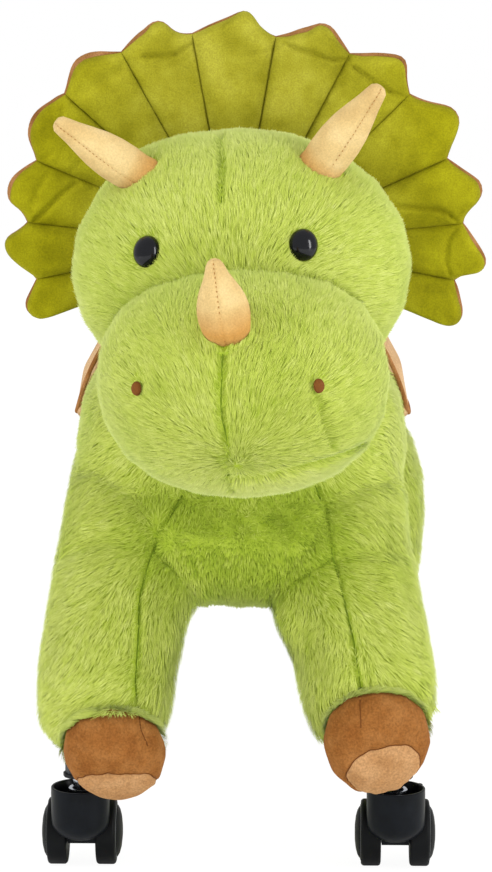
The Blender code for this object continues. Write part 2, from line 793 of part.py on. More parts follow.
def build_grip(name, side, bar_end, rubber):
    """Ribbed rubber sleeve, closed over the end of the handlebar."""
    bore = round_bore(HANDLE_RADIUS, TUBE_FACETS)
    closed_end = GRIP_END + FIT_GAP
    open_end = -GRIP_LENGTH
    collar_radius = GRIP_RADIUS + GRIP_COLLAR_HEIGHT
    profile = [(0.0, closed_end), (GRIP_RADIUS * 0.75, closed_end), (GRIP_RADIUS, 0.0)]
    pitch = GRIP_LENGTH / (GRIP_RIBS + 1)
    for rib in range(GRIP_RIBS):
        middle = -pitch * (rib + 1)
        profile.append((GRIP_RADIUS - GRIP_RIB_HEIGHT, middle + pitch * 0.2))
        profile.append((GRIP_RADIUS, middle))
    profile += [
        (GRIP_RADIUS, open_end + GRIP_COLLAR_WIDTH),
        (collar_radius, open_end + GRIP_COLLAR_WIDTH),
        (collar_radius, open_end),
        (bore, open_end),
        (bore, FIT_GAP),
        (0.0, FIT_GAP),
    ]
    grip = turned(name, profile, SMALL_FACETS)
    grip.location = (bar_end, NECK_POST_Y, HANDLE_Z)
    grip.rotation_euler = (0.0, side * math.pi / 2, 0.0)
    as_part(grip, rubber)


# Stuffed body


def leg_sections(rows, side, top_shift, foot_shift, rise):
    """Sections of one leg, shifted out from its top to its foot, with its foot raised."""
    sections = []
    for index, (x, y, z, half_width, half_depth) in enumerate(rows):
        share = index / (len(rows) - 1)
        shift = top_shift + (foot_shift - top_shift) * share
        middle = Vector((side * (x + shift), y, z + rise * share**3))
        sections.append((middle, half_width, half_depth))
    return sections


def hoof_sections(leg, pitch, shift):
    """Sections of the hoof, on from the leg's last section and pitched a little up."""
    last = leg[-1][0]
    along = (last - leg[-2][0]).normalized()
    along.rotate(Matrix.Rotation(-pitch, 3, "X"))
    start = last + Vector((shift, 0.0, 0.0))
    return [(start + along * far, width, depth) for far, width, depth in HOOF_SECTIONS]


def port_room(name, x, y):
    """Round room for a socket's flange and the stem below a leg."""
    room = cylinder(
        name,
        SOCKET_FLANGE_RADIUS + 2 * FIT_GAP,
        HOOD_RIM_Z,
        LEG_TUBE_END_Z + PORT_HEADROOM,
        SMALL_FACETS,
    )
    room.location = (x, y, 0.0)
    return as_cutter(room)


def build_legs(torso_room, frame_rooms, finishes):
    kinds = (
        ("front", FRONT_LEG_SECTIONS, FRONT_STEM_Y, "front_leg_frame"),
        ("rear", REAR_LEG_SECTIONS, REAR_STEM_Y, "rear_leg_frame"),
    )
    for kind, rows, stem_y, frame in kinds:
        for side, word in ((-1, "left"), (1, "right")):
            label = kind + "_" + word
            top_shift, foot_shift, rise, pitch, hoof_in = LEG_STANCES[label]
            sections = leg_sections(rows, side, top_shift, foot_shift, rise)
            leg = stuffed(kind + "_leg_" + word, sections, LIMB_SIDES)
            leg_room = room_for(leg)
            port = port_room("port_" + label, side * TRACK_HALF, stem_y)
            cut(leg, torso_room, frame_rooms[frame], port)
            as_part(leg, finishes["fur"])
            hoof_rows = hoof_sections(sections, pitch, -side * hoof_in)
            hoof = stuffed("hoof_" + label, hoof_rows, LIMB_SIDES)
            cut(hoof, leg_room)
            as_part(hoof, finishes["hoof"])


def build_saddle(torso_room, finishes):
    """Padded arch with its crown over the back, open below its two side edges."""
    sections = [((0.0, y, SADDLE_MIDDLE_Z), width, height) for y, width, height in SADDLE_SECTIONS]
    pad = stuffed("saddle_pad", sections, CAGE_SIDES)
    reach = max(width for _, width, _ in SADDLE_SECTIONS) + SADDLE_CUT_MARGIN
    fall = max(height for _, _, height in SADDLE_SECTIONS) + SADDLE_CUT_MARGIN
    below = box(
        "saddle_below",
        (-reach, SADDLE_SECTIONS[0][0] - SADDLE_CUT_MARGIN, SADDLE_MIDDLE_Z - fall),
        (reach, SADDLE_SECTIONS[-1][0] + SADDLE_CUT_MARGIN, SADDLE_EDGE_Z),
    )
    cut(pad, as_cutter(below), torso_room)
    as_part(pad, finishes["saddle"])


# Head


def build_horn(name, head, base, direction, length, radius, form_room, finish):
    """Stuffed horn, standing on the head or muzzle and tapering to a round tip."""
    along = Vector(direction).normalized()
    foot = Vector(base)
    root_radius = radius * HORN_ROOT_SHARE
    sections = [(foot - along * HORN_SINK, root_radius, root_radius)]
    for far, share in HORN_TAPER:
        sections.append((foot + along * (far * length), radius * share, radius * share))
    horn = stuffed(name, sections, LIMB_SIDES)
    cut(horn, form_room)
    as_part(horn, finish, head)


def build_head(torso_room, frame_rooms, finishes):
    head = bpy.data.objects.new("head_pose", None)
    place(head, PARTS)
    head.location = HEAD_CENTRE
    head.rotation_euler = (0.0, HEAD_TILT, HEAD_TURN)
    skull_sections = domed(
        (0.0, 0.0, 0.0), HEAD_HALF_WIDTH, HEAD_HALF_HEIGHT, HEAD_BACK, HEAD_FRONT, HEAD_ANGLES
    )
    skull = stuffed("head_plush", skull_sections, CAGE_SIDES)
    as_part(skull, finishes["fur"], head)
    muzzle_sections = domed(
        MUZZLE_CENTRE,
        MUZZLE_HALF_WIDTH,
        MUZZLE_HALF_HEIGHT,
        MUZZLE_BACK,
        MUZZLE_FRONT,
        MUZZLE_ANGLES,
    )
    muzzle = stuffed("muzzle_plush", muzzle_sections, CAGE_SIDES, MUZZLE_SQUARENESS)
    as_part(muzzle, finishes["fur"], head)
    bpy.context.view_layer.update()
    skull_room = room_for(skull)
    muzzle_room = room_for(muzzle)

    build_eyes(head, skull, finishes)
    build_nostrils(head, muzzle, finishes)
    for side, word, lean in ((-1, "left", BROW_HORN_LEAN_LEFT), (1, "right", BROW_HORN_LEAN_RIGHT)):
        base = (side * BROW_HORN_HALF_SPACING, -BROW_HORN_FORWARD, BROW_HORN_HEIGHT)
        direction = (
            side * math.sin(lean),
            -math.tan(BROW_HORN_LEAN_FORWARD),
            math.cos(lean),
        )
        build_horn(
            "brow_horn_" + word,
            head,
            base,
            direction,
            BROW_HORN_LENGTH,
            BROW_HORN_RADIUS,
            skull_room,
            finishes["horn"],
        )
    nose_offset = Vector((NOSE_HORN_MIDDLE_X, -NOSE_HORN_FORWARD, NOSE_HORN_HEIGHT))
    nose_base = Vector(MUZZLE_CENTRE) + nose_offset
    nose_direction = (-NOSE_HORN_SIDE_LEAN, -math.sin(NOSE_HORN_LEAN), math.cos(NOSE_HORN_LEAN))
    build_horn(
        "nose_horn",
        head,
        nose_base,
        nose_direction,
        NOSE_HORN_LENGTH,
        NOSE_HORN_RADIUS,
        muzzle_room,
        finishes["horn"],
    )
    cut(muzzle, skull_room)
    cut(skull, torso_room, frame_rooms["neck_post"], frame_rooms["handlebar"])
    return skull_room


def build_eyes(head, skull, finishes):
    """Domed eyes on shanks that pass through the head's fabric into lock washers."""
    washers = []
    for side, word in ((-1, "left"), (1, "right")):
        start = Vector((EYE_MIDDLE_X + side * EYE_HALF_SPACING, 0.0, EYE_HEIGHT))
        point, normal = surface_point(skull, start, (0.0, -1.0, 0.0))
        seat = facing(point - normal * EYE_SINK, normal)
        profile = [(0.0, EYE_DOME)]
        for step in range(1, EYE_DOME_STEPS):
            angle = math.pi / 2 * step / EYE_DOME_STEPS
            profile.append((EYE_RADIUS * math.sin(angle), EYE_DOME * math.cos(angle)))
        profile += [
            (EYE_RADIUS, FIT_GAP),
            (EYE_SHANK_RADIUS, FIT_GAP),
            (EYE_SHANK_RADIUS, -EYE_SHANK_LENGTH),
            (0.0, -EYE_SHANK_LENGTH),
        ]
        eye = turned("eye_" + word, profile, EYE_FACETS)
        eye.matrix_local = seat
        as_part(eye, finishes["eye"], head)

        shank_room = round_bore(EYE_SHANK_RADIUS, EYE_FACETS)
        washer_room = WASHER_RADIUS + 2 * FIT_GAP
        washer_top = -WASHER_DEPTH + FIT_GAP
        washer_bottom = -WASHER_DEPTH - WASHER_THICKNESS - FIT_GAP
        room_profile = (
            (0.0, EYE_DOME + EYE_SINK),
            (EYE_RADIUS + 2 * FIT_GAP, EYE_DOME + EYE_SINK),
            (EYE_RADIUS + 2 * FIT_GAP, 0.0),
            (shank_room, 0.0),
            (shank_room, washer_top),
            (washer_room, washer_top),
            (washer_room, washer_bottom),
            (shank_room, washer_bottom),
            (shank_room, -EYE_SHANK_LENGTH - 2 * FIT_GAP),
            (0.0, -EYE_SHANK_LENGTH - 2 * FIT_GAP),
        )
        room = turned("eye_room_" + word, room_profile, EYE_FACETS)
        room.matrix_local = seat
        cut(skull, as_cutter(room, head))
        washers.append(("eye_washer_" + word, head_matrix() @ seat))
    washer = turned(
        "washer",
        (
            (round_bore(EYE_SHANK_RADIUS, EYE_FACETS), -WASHER_DEPTH),
            (WASHER_RADIUS, -WASHER_DEPTH),
            (WASHER_RADIUS, -WASHER_DEPTH - WASHER_THICKNESS),
            (round_bore(EYE_SHANK_RADIUS, EYE_FACETS), -WASHER_DEPTH - WASHER_THICKNESS),
        ),
        EYE_FACETS,
        closed=True,
    )
    repeat(washers, washer, finishes["plastic"])


def build_nostrils(head, muzzle, finishes):
    """Two stitched nostril pads, let into the front of the muzzle."""
    places = []
    for side, word in ((-1, "left"), (1, "right")):
        middle = Vector(MUZZLE_CENTRE)
        across = NOSTRIL_MIDDLE_X + side * NOSTRIL_HALF_SPACING
        start = Vector((middle.x + across, 0.0, middle.z + NOSTRIL_HEIGHT))
        point, normal = surface_point(muzzle, start, (0.0, -1.0, 0.0))
        seat = facing(point + normal * NOSTRIL_STANDS_PROUD, normal)
        room = cylinder(
            "nostril_room_" + word,
            NOSTRIL_RADIUS + 2 * FIT_GAP,
            -NOSTRIL_THICKNESS - FIT_GAP,
            NOSTRIL_RADIUS,
            SMALL_FACETS,
        )
        room.matrix_local = seat
        cut(muzzle, as_cutter(room, head))
        places.append(("nostril_" + word, head_matrix() @ seat))
    pad = turned(
        "nostril",
        (
            (0.0, 0.0),
            (NOSTRIL_RADIUS, -NOSTRIL_EDGE),
            (NOSTRIL_RADIUS, -NOSTRIL_THICKNESS),
            (0.0, -NOSTRIL_THICKNESS),
        ),
        SMALL_FACETS,
    )
    repeat(places, pad, finishes["nostril"])


def head_matrix():
    turn = Matrix.Rotation(HEAD_TURN, 4, "Z") @ Matrix.Rotation(HEAD_TILT, 4, "Y")
    return Matrix.Translation(HEAD_CENTRE) @ turn


# Frill


def lobe_edges():
    """Seam angles of the fan, from its right end over the top to its left end."""
    right = [math.pi / 2 - TOP_LOBE_ANGLE / 2]
    for lobe in range(SIDE_LOBES):
        right.append(right[-1] - SIDE_LOBE_ANGLE + LOBE_NARROWING * lobe**2)
    left = [math.pi - angle for angle in right]
    return right[::-1] + left


def frill_point(centre, outward, reach, share):
    """Place on the fan's middle surface, a share of the way from its inner edge out."""
    radius = FRILL_INNER_RADIUS + (reach - FRILL_INNER_RADIUS) * share
    return centre + outward * radius + Vector((0.0, FRILL_DISH * share, 0.0))


def frill_layer(name, puff, behind, finish):
    """One padded layer of the frill: flat towards the other layer, puffed away from it."""
    edges = lobe_edges()
    centre = Vector(FRILL_CENTRE)
    columns = []
    for start, end in zip(edges, edges[1:]):
        for step in range(LOBE_STEPS):
            share = step / LOBE_STEPS
            point = 1 - abs(2 * share - 1) ** LOBE_POINT
            columns.append((start + (end - start) * share, math.sin(math.pi * share), point))
    columns.append((edges[-1], 0.0, 0.0))
    sheet = bmesh.new()
    flat = []
    full = []
    direction = 1.0 if behind else -1.0
    for angle, swell, point in columns:
        reach = FRILL_NOTCH_RADIUS + (FRILL_TIP_RADIUS - FRILL_NOTCH_RADIUS) * point
        outward = Vector((math.cos(angle), 0.0, math.sin(angle) * FRILL_HEIGHT_SHARE))
        full_column = []
        for ring in range(FRILL_RINGS + 1):
            share = ring / FRILL_RINGS
            fade = math.sqrt(1 - share**4)
            depth = FRILL_SEAM * (1 - FRILL_SEAM_TAPER * share) + puff * swell * fade
            middle = frill_point(centre, outward, reach, share)
            full_column.append(sheet.verts.new(middle + Vector((0.0, direction * depth, 0.0))))
        full.append(full_column)
        seat = Vector((0.0, direction * FIT_GAP / 2, 0.0))
        ends = [frill_point(centre, outward, reach, share) + seat for share in (0.0, 1.0)]
        flat.append([sheet.verts.new(end) for end in ends])
    for column, beside in zip(flat, flat[1:]):
        sheet.faces.new((column[0], beside[0], beside[1], column[1]))
    for column, beside in zip(full, full[1:]):
        for ring in range(FRILL_RINGS):
            sheet.faces.new((column[ring], beside[ring], beside[ring + 1], column[ring + 1]))
    for index in range(len(columns) - 1):
        for end in (0, -1):
            sheet.faces.new(
                (flat[index][end], flat[index + 1][end], full[index + 1][end], full[index][end])
            )
    for index in (0, -1):
        sheet.faces.new([flat[index][0], flat[index][1], *full[index][::-1]])
    bmesh.ops.triangulate(sheet, faces=sheet.faces, quad_method="FIXED")
    bmesh.ops.recalc_face_normals(sheet, faces=sheet.faces)
    mesh = bpy.data.meshes.new(name)
    sheet.to_mesh(mesh)
    sheet.free()
    thing = bpy.data.objects.new(name, mesh)
    bpy.context.scene.collection.objects.link(thing)
    return as_part(thing, finish)


def build_finishes():
    green = (0.43, 0.63, 0.13)
    return {
        "fur": make_material("green_fur", green, 0.9),
        "frill": make_material("olive_velour", (0.33, 0.35, 0.05), 0.85),
        "hoof": make_material("brown_velour", (0.47, 0.22, 0.08), 0.85),
        "saddle": make_material("saddle_velour", (0.50, 0.26, 0.11), 0.85),
        "horn": make_material("cream_velour", (0.86, 0.68, 0.33), 0.85),
        "eye": make_material("eye_black", (0.01, 0.01, 0.012), 0.1),
        "nostril": make_material("nostril_thread", (0.17, 0.07, 0.02), 0.7),
        "hood": make_material("hood_black", (0.02, 0.021, 0.026), 0.42),
        "tyre": make_material("tyre_black", (0.018, 0.019, 0.021), 0.5),
        "plastic": make_material("plastic_black", (0.025, 0.025, 0.025), 0.5),
        "rubber": make_material("grip_rubber", (0.03, 0.03, 0.03), 0.7),
        "steel": make_material("plated_steel", (0.6, 0.6, 0.6), 0.35, 1.0),
        "chrome": make_material("chrome", (0.75, 0.76, 0.78), 0.15, 1.0),
        "frame": make_material("painted_tube", (0.05, 0.05, 0.055), 0.5, 0.3),
        "wood": make_material("plywood", (0.60, 0.43, 0.25), 0.6),
    }


def main():
    clear_scene()
    make_collection(PARTS)
    make_collection(CUTTERS)
    finishes = build_finishes()

    corners = (
        ("front_left", -TRACK_HALF, FRONT_STEM_Y),
        ("front_right", TRACK_HALF, FRONT_STEM_Y),
        ("rear_left", -TRACK_HALF, REAR_STEM_Y),
        ("rear_right", TRACK_HALF, REAR_STEM_Y),
    )
    for label, x, y in corners:
        build_caster(label, x, y, finishes)
    stem_places = [(label, Matrix.Translation((x, y, 0.0))) for label, x, y in corners]
    build_stems_and_sockets(stem_places, finishes)

    rooms = build_frame(finishes)
    torso = stuffed("torso_plush", along_body(BODY_SECTIONS), CAGE_SIDES)
    torso_room = room_for(torso)
    cut(torso, *rooms.values())
    as_part(torso, finishes["fur"])

    build_legs(torso_room, rooms, finishes)
    tail = stuffed("tail_plush", along_body(TAIL_SECTIONS), LIMB_SIDES)
    cut(tail, torso_room)
    as_part(tail, finishes["fur"])
    build_saddle(torso_room, finishes)

    skull_room = build_head(torso_room, rooms, finishes)
    for name, puff, behind, finish in (
        ("frill_front", FRILL_PUFF, False, finishes["frill"]),
        ("frill_back", FRILL_BACK_PUFF, True, finishes["saddle"]),
    ):
        layer = frill_layer(name, puff, behind, finish)
        cut(layer, skull_room)


main()
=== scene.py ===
"""Looks of the ride-on plush triceratops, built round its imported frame.

Long pile on the body, short pile on the frill, horns, hooves and saddle, moulded casters.
A place written (u, v) is a pixel of the photograph, which the camera below turns into a line
of sight. Lengths are metres in the frame's own axes: the toy faces -Y.
"""

import math
from typing import Callable, NamedTuple

import bmesh
import bpy
import numpy as np
from mathutils import Matrix, Vector
from mathutils.bvhtree import BVHTree
from mathutils.kdtree import KDTree


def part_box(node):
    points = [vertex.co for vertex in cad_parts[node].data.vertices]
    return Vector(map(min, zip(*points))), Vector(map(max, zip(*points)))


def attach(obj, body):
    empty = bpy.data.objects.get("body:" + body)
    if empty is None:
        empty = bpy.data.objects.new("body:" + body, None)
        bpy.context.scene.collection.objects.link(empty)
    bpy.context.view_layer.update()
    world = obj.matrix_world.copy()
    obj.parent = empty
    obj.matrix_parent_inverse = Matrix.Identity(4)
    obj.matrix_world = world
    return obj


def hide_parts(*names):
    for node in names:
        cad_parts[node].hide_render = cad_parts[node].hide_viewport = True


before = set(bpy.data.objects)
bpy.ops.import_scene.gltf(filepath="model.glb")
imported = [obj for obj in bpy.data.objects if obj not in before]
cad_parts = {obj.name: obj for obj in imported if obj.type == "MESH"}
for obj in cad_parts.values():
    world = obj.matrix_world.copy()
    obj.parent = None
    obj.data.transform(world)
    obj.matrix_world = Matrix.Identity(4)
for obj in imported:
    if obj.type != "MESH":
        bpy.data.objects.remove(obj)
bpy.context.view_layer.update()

BODY = "chassis"
CORNERS = {
    "front_left": (-0.117, -0.155),
    "front_right": (0.117, -0.155),
    "rear_left": (-0.117, 0.155),
    "rear_right": (0.117, 0.155),
}

# Camera: where the photograph was taken from, found from the casters and the frill.
PHOTO_SIZE = (492, 872)
CAMERA_PLACE = Vector((0.0537, -2.4343, 0.7075))
CAMERA_DIP = math.radians(9.44)
CAMERA_TURN = math.radians(1.2)
FOCAL_PIXELS = 3178.0


def sight(u, v):
    """Direction of the line of sight through one pixel of the photograph."""
    across = (u - PHOTO_SIZE[0] / 2) / FOCAL_PIXELS
    rise = (PHOTO_SIZE[1] / 2 - v) / FOCAL_PIXELS
    ahead = Vector((across, 1.0, rise))
    ahead.rotate(Matrix.Rotation(-CAMERA_DIP, 3, "X"))
    ahead.rotate(Matrix.Rotation(CAMERA_TURN, 3, "Z"))
    return ahead.normalized()


def on_plane(u, v, y):
    """Where the line of sight through a pixel meets an upright plane across the toy."""
    ahead = sight(u, v)
    return CAMERA_PLACE + ahead * ((y - CAMERA_PLACE.y) / ahead.y)


def on_form(form, u, v):
    """Where the line of sight through a pixel first meets a form, or None."""
    return form.ray_cast(CAMERA_PLACE, sight(u, v))[0]


def traced(form, pixels, step=3.0):
    """Closely spaced places on a form, along a broken line of pixels."""
    places = []
    for start, end in zip(pixels, pixels[1:]):
        count = max(int(math.dist(start, end) / step), 1)
        for index in range(count):
            share = index / count
            spot = [a + (b - a) * share for a, b in zip(start, end)]
            places.append(on_form(form, *spot))
    places.append(on_form(form, *pixels[-1]))
    return [place for place in places if place is not None]


# Mesh helpers


def link(thing):
    bpy.context.scene.collection.objects.link(thing)
    return thing


def new_object(name, mesh, *materials):
    thing = link(bpy.data.objects.new(name, mesh))
    for material in materials:
        mesh.materials.append(material)
    return thing


def mesh_from(name, points, faces, smooth=True):
    mesh = bpy.data.meshes.new(name)
    mesh.from_pydata([tuple(point) for point in points], [], faces)
    mesh.validate()
    if smooth:
        mesh.shade_smooth()
    return mesh


def values_of(items, field, kind=float):
    """One field of three numbers for each item, as rows."""
    values = np.empty(len(items) * 3, dtype=kind)
    items.foreach_get(field, values)
    return values.reshape(-1, 3)


def place_of(mesh):
    return values_of(mesh.vertices, "co")


def normals_of(mesh):
    return values_of(mesh.vertex_normals, "vector")


def triangles_of(mesh):
    mesh.calc_loop_triangles()
    return values_of(mesh.loop_triangles, "vertices", np.int64)


def set_places(mesh, points):
    mesh.vertices.foreach_set("co", points.ravel())
    mesh.update()


def unit(vectors):
    return vectors / np.maximum(np.linalg.norm(vectors, axis=-1, keepdims=True), 1e-9)


def evaluated(thing):
    bpy.context.view_layer.update()
    graph = bpy.context.evaluated_depsgraph_get()
    return bpy.data.meshes.new_from_object(thing.evaluated_get(graph))


def finished(thing):
    """Bake an object's modifiers into its mesh."""
    mesh = evaluated(thing)
    mesh.name = thing.name
    thing.modifiers.clear()
    thing.data = mesh
    return thing


def bridged(rings):
    """Faces from each ring of point numbers to the next. A ring may be a single point."""
    sides = max(len(ring) for ring in rings)
    faces = []
    for ring, after in zip(rings, rings[1:]):
        for step in range(sides):
            beside = (step + 1) % sides
            corners = [ring[step % len(ring)], after[step % len(after)]]
            corners += [after[beside % len(after)], ring[beside % len(ring)]]
            faces.append(list(dict.fromkeys(corners)))
    return faces


def cleaned(mesh, weld=0.0):
    """Merge the points of a mesh that lie closer than weld, and turn its faces outward."""
    work = bmesh.new()
    work.from_mesh(mesh)
    if weld:
        bmesh.ops.remove_doubles(work, verts=work.verts, dist=weld)
    bmesh.ops.recalc_face_normals(work, faces=work.faces)
    work.to_mesh(mesh)
    work.free()
    return mesh


def welded(node):
    """A closed copy of a CAD node's mesh."""
    work = bmesh.new()
    work.from_mesh(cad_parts[node].data)
    bmesh.ops.remove_doubles(work, verts=work.verts, dist=0.00002)
    mesh = bpy.data.meshes.new(node)
    work.to_mesh(mesh)
    work.free()
    mesh.materials.clear()
    return mesh


def softened(name, node, voxel, rounds):
    """A finely meshed copy of a CAD node with its facets smoothed away."""
    thing = new_object(name, welded(node))
    remesh = thing.modifiers.new("Fine mesh", "REMESH")
    remesh.mode = "VOXEL"
    remesh.voxel_size = voxel
    smooth = thing.modifiers.new("Smooth", "SMOOTH")
    smooth.factor = 0.5
    smooth.iterations = rounds
    finished(thing)
    thing.data.shade_smooth()
    return thing


def tree_of(mesh):
    return BVHTree.FromPolygons(place_of(mesh).tolist(), triangles_of(mesh).tolist())


def joined(meshes):
    """One search tree over several meshes."""
    points = []
    faces = []
    for mesh in meshes:
        faces += (triangles_of(mesh) + len(points)).tolist()
        points += place_of(mesh).tolist()
    return BVHTree.FromPolygons(points, faces)


def bell(distance, width):
    """1 at no distance, fading smoothly to nothing over a few widths."""
    return np.exp(-((distance / width) ** 2))


def wander(points, span, seed):
    """Smooth pseudo-random vectors that change over about one span."""
    random = np.random.default_rng(seed)
    total = np.zeros((len(points), 3))
    for wave in range(7):
        slope = random.normal(size=(3, 3)) / span * (0.7 + 0.2 * wave)
        total += np.sin(points @ slope + random.uniform(0, math.tau, 3))
    return total / 3.0


def nearest_place(points, places):
    """Distance from each point to the nearest of some places, and that place."""
    finder = KDTree(len(places))
    for index, place in enumerate(places):
        finder.insert(place, index)
    finder.balance()
    found = [finder.find(point) for point in points]
    return np.array([far for _, _, far in found]), np.array([place for place, _, _ in found])


def line_distance(points, line):
    """Distance from each point to a broken line."""
    nearest = np.full(len(points), np.inf)
    for start, end in zip(line, line[1:]):
        start = np.array(start)
        run = np.array(end) - start
        share = np.clip((points - start) @ run / max(run @ run, 1e-12), 0, 1)
        nearest = np.minimum(nearest, np.linalg.norm(points - start - share[:, None] * run, axis=1))
    return nearest


def tube(name, line, radius, sides, material, closed=False):
    """Round cord along a line of points."""
    curve = bpy.data.curves.new(name, "CURVE")
    curve.dimensions = "3D"
    curve.bevel_depth = radius
    curve.bevel_resolution = sides // 4
    curve.use_fill_caps = not closed
    spline = curve.splines.new("POLY")
    spline.points.add(len(line) - 1)
    spline.use_cyclic_u = closed
    for point, place in zip(spline.points, line):
        point.co = (*place, 1.0)
    route = link(bpy.data.objects.new(name + "_route", curve))
    mesh = evaluated(route)
    bpy.data.objects.remove(route, do_unlink=True)
    mesh.name = name
    mesh.materials.clear()
    mesh.shade_smooth()
    return new_object(name, mesh, material)


def turned(name, profile, facets, matrix, *materials, sharp=35):
    """Solid of revolution about Z from (radius, height) points, placed by a matrix."""
    points = []
    rings = []
    for radius, height in profile:
        steps = facets if radius > 1e-7 else 1
        rings.append(range(len(points), len(points) + steps))
        for step in range(steps):
            angle = math.tau * step / facets
            points.append((radius * math.cos(angle), radius * math.sin(angle), height))
    mesh = cleaned(mesh_from(name, points, bridged(rings)))
    mesh.transform(matrix)
    mesh.set_sharp_from_angle(angle=math.radians(sharp))
    return new_object(name, mesh, *materials)


def facing(place, direction):
    """Matrix that stands an object's Z along a direction at a place."""
    turn = Vector(direction).to_track_quat("Z", "Y").to_matrix().to_4x4()
    return Matrix.Translation(place) @ turn


def sideways(place, side):
    """Matrix that stands an object's Z to the toy's right, or left for side -1, at a place."""
    return Matrix.Translation(place) @ Matrix.Rotation(side * math.pi / 2, 4, "Y")


def finish_piece(piece, body, slot, *nodes):
    if nodes:
        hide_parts(*nodes)
    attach(piece, body)
    return piece


# Materials


def linear(red, green, blue):
    """Linear colour of an sRGB one written 0 to 255."""
    values = []
    for value in (red, green, blue):
        share = value / 255
        low = share / 12.92
        values.append(low if share <= 0.04045 else ((share + 0.055) / 1.055) ** 2.4)
    return (*values, 1.0)


class Looks:
    """One Principled material with helpers for its nodes."""

    def __init__(self, name, roughness, metallic=0.0):
        self.material = bpy.data.materials.new(name)
        self.material.use_nodes = True
        self.tree = self.material.node_tree
        self.shader = self.tree.nodes["Principled BSDF"]
        self.set(Roughness=roughness, Metallic=metallic)

    def set(self, **values):
        for name, value in values.items():
            self.shader.inputs[name.replace("_", " ")].default_value = value

    def node(self, kind, **settings):
        made = self.tree.nodes.new("ShaderNode" + kind)
        for name, value in settings.items():
            if hasattr(made, name):
                setattr(made, name, value)
            else:
                made.inputs[name.replace("_", " ")].default_value = value
        return made

    def link(self, source, target):
        self.tree.links.new(source, target)

    def place(self, stretch=(1.0, 1.0, 1.0)):
        """Object coordinates, stretched."""
        coordinates = self.node("TexCoord")
        mapping = self.node("Mapping", Scale=stretch)
        self.link(coordinates.outputs["Object"], mapping.inputs["Vector"])
        return mapping.outputs["Vector"]

    def noise(self, place, scale, detail=2.0, roughness=0.5):
        made = self.node("TexNoise", Scale=scale, Detail=detail, Roughness=roughness)
        self.link(place, made.inputs["Vector"])
        return made.outputs["Fac"]

    def ramp(self, source, stops):
        """Colours between stops of (position, sRGB)."""
        made = self.node("ValToRGB")
        elements = made.color_ramp.elements
        while len(elements) < len(stops):
            elements.new(0.5)
        for element, (position, colour) in zip(elements, stops):
            element.position = position
            element.color = linear(*colour)
        self.link(source, made.inputs["Fac"])
        return made.outputs["Color"]

    def mix(self, share, first, second, blend="MIX"):
        made = self.node("Mix", data_type="RGBA", blend_type=blend)
        for value, name in ((share, "Factor"), (first, "A"), (second, "B")):
            kind = "NodeSocketFloatFactor" if name == "Factor" else "NodeSocketColor"
            socket = [s for s in made.inputs if s.name == name and s.bl_idname == kind][0]
            if isinstance(value, bpy.types.NodeSocket):
                self.link(value, socket)
            else:
                socket.default_value = value
        return [s for s in made.outputs if s.bl_idname == "NodeSocketColor"][0]

    def span(self, source, low, high, new_low, new_high):
        made = self.node("MapRange")
        names = ("From Min", "From Max", "To Min", "To Max")
        for name, value in zip(names, (low, high, new_low, new_high)):
            made.inputs[name].default_value = value
        self.link(source, made.inputs["Value"])
        return made.outputs["Result"]

    def colour(self, source):
        self.link(source, self.shader.inputs["Base Color"])

    def bump(self, source, distance, strength=1.0, under=None):
        made = self.node("Bump", Distance=distance, Strength=strength)
        self.link(source, made.inputs["Height"])
        if under is not None:
            self.link(under, made.inputs["Normal"])
        self.link(made.outputs["Normal"], self.shader.inputs["Normal"])
        return made.outputs["Normal"]


def velour(name, shades, patch=38.0, grain=820.0, speck=0.55, over=None, sheen=0.22):
    """Short pile: broad patches of brushed nap, fine grain and a soft sheen.

    A function given as over makes one more colour that is laid over the whole.
    """
    looks = Looks(name, 0.88)
    place = looks.place()
    patches = looks.noise(place, patch, 2.5, 0.55)
    fibres = looks.noise(looks.place((1.0, 0.45, 1.0)), grain, 2.0, 0.6)
    broad = looks.ramp(patches, list(zip((0.34, 0.50, 0.66), shades)))
    specks = looks.ramp(fibres, [(0.30, (168, 166, 160)), (0.70, (255, 255, 252))])
    cloth = looks.mix(speck, broad, specks, "MULTIPLY")
    if over is not None:
        cloth = looks.mix(1.0, cloth, over(looks), "MULTIPLY")
    looks.colour(cloth)
    under = looks.bump(patches, 0.0012, 0.5)
    looks.bump(fibres, 0.0005, 0.55, under)
    looks.set(Sheen_Weight=sheen, Sheen_Roughness=0.45, Sheen_Tint=linear(*shades[2]))
    looks.set(Specular_IOR_Level=0.12)
    return looks.material


def painted_foot_shade(foot, near, far):
    """Painted shade: an orange-brown darkening round the foot where a horn meets the head."""

    def over(looks):
        coordinates = looks.node("TexCoord")
        reach = looks.node("VectorMath", operation="DISTANCE")
        looks.link(coordinates.outputs["Object"], reach.inputs[0])
        reach.inputs[1].default_value = foot
        share = looks.span(reach.outputs["Value"], near, far, 0.0, 1.0)
        return looks.ramp(share, [(0.0, (238, 206, 164)), (1.0, (255, 255, 255))])

    return over


def painted_side_shade(looks):
    """Painted shade that darkens the frill's cloth towards the toy's two sides."""
    coordinates = looks.node("TexCoord")
    parts = looks.node("SeparateXYZ")
    looks.link(coordinates.outputs["Object"], parts.inputs["Vector"])
    across = looks.node("Math", operation="ABSOLUTE")
    looks.link(parts.outputs["X"], across.inputs[0])
    share = looks.span(across.outputs["Value"], 0.04, 0.14, 0.0, 1.0)
    return looks.ramp(share, [(0.0, (255, 255, 255)), (1.0, (236, 236, 112))])


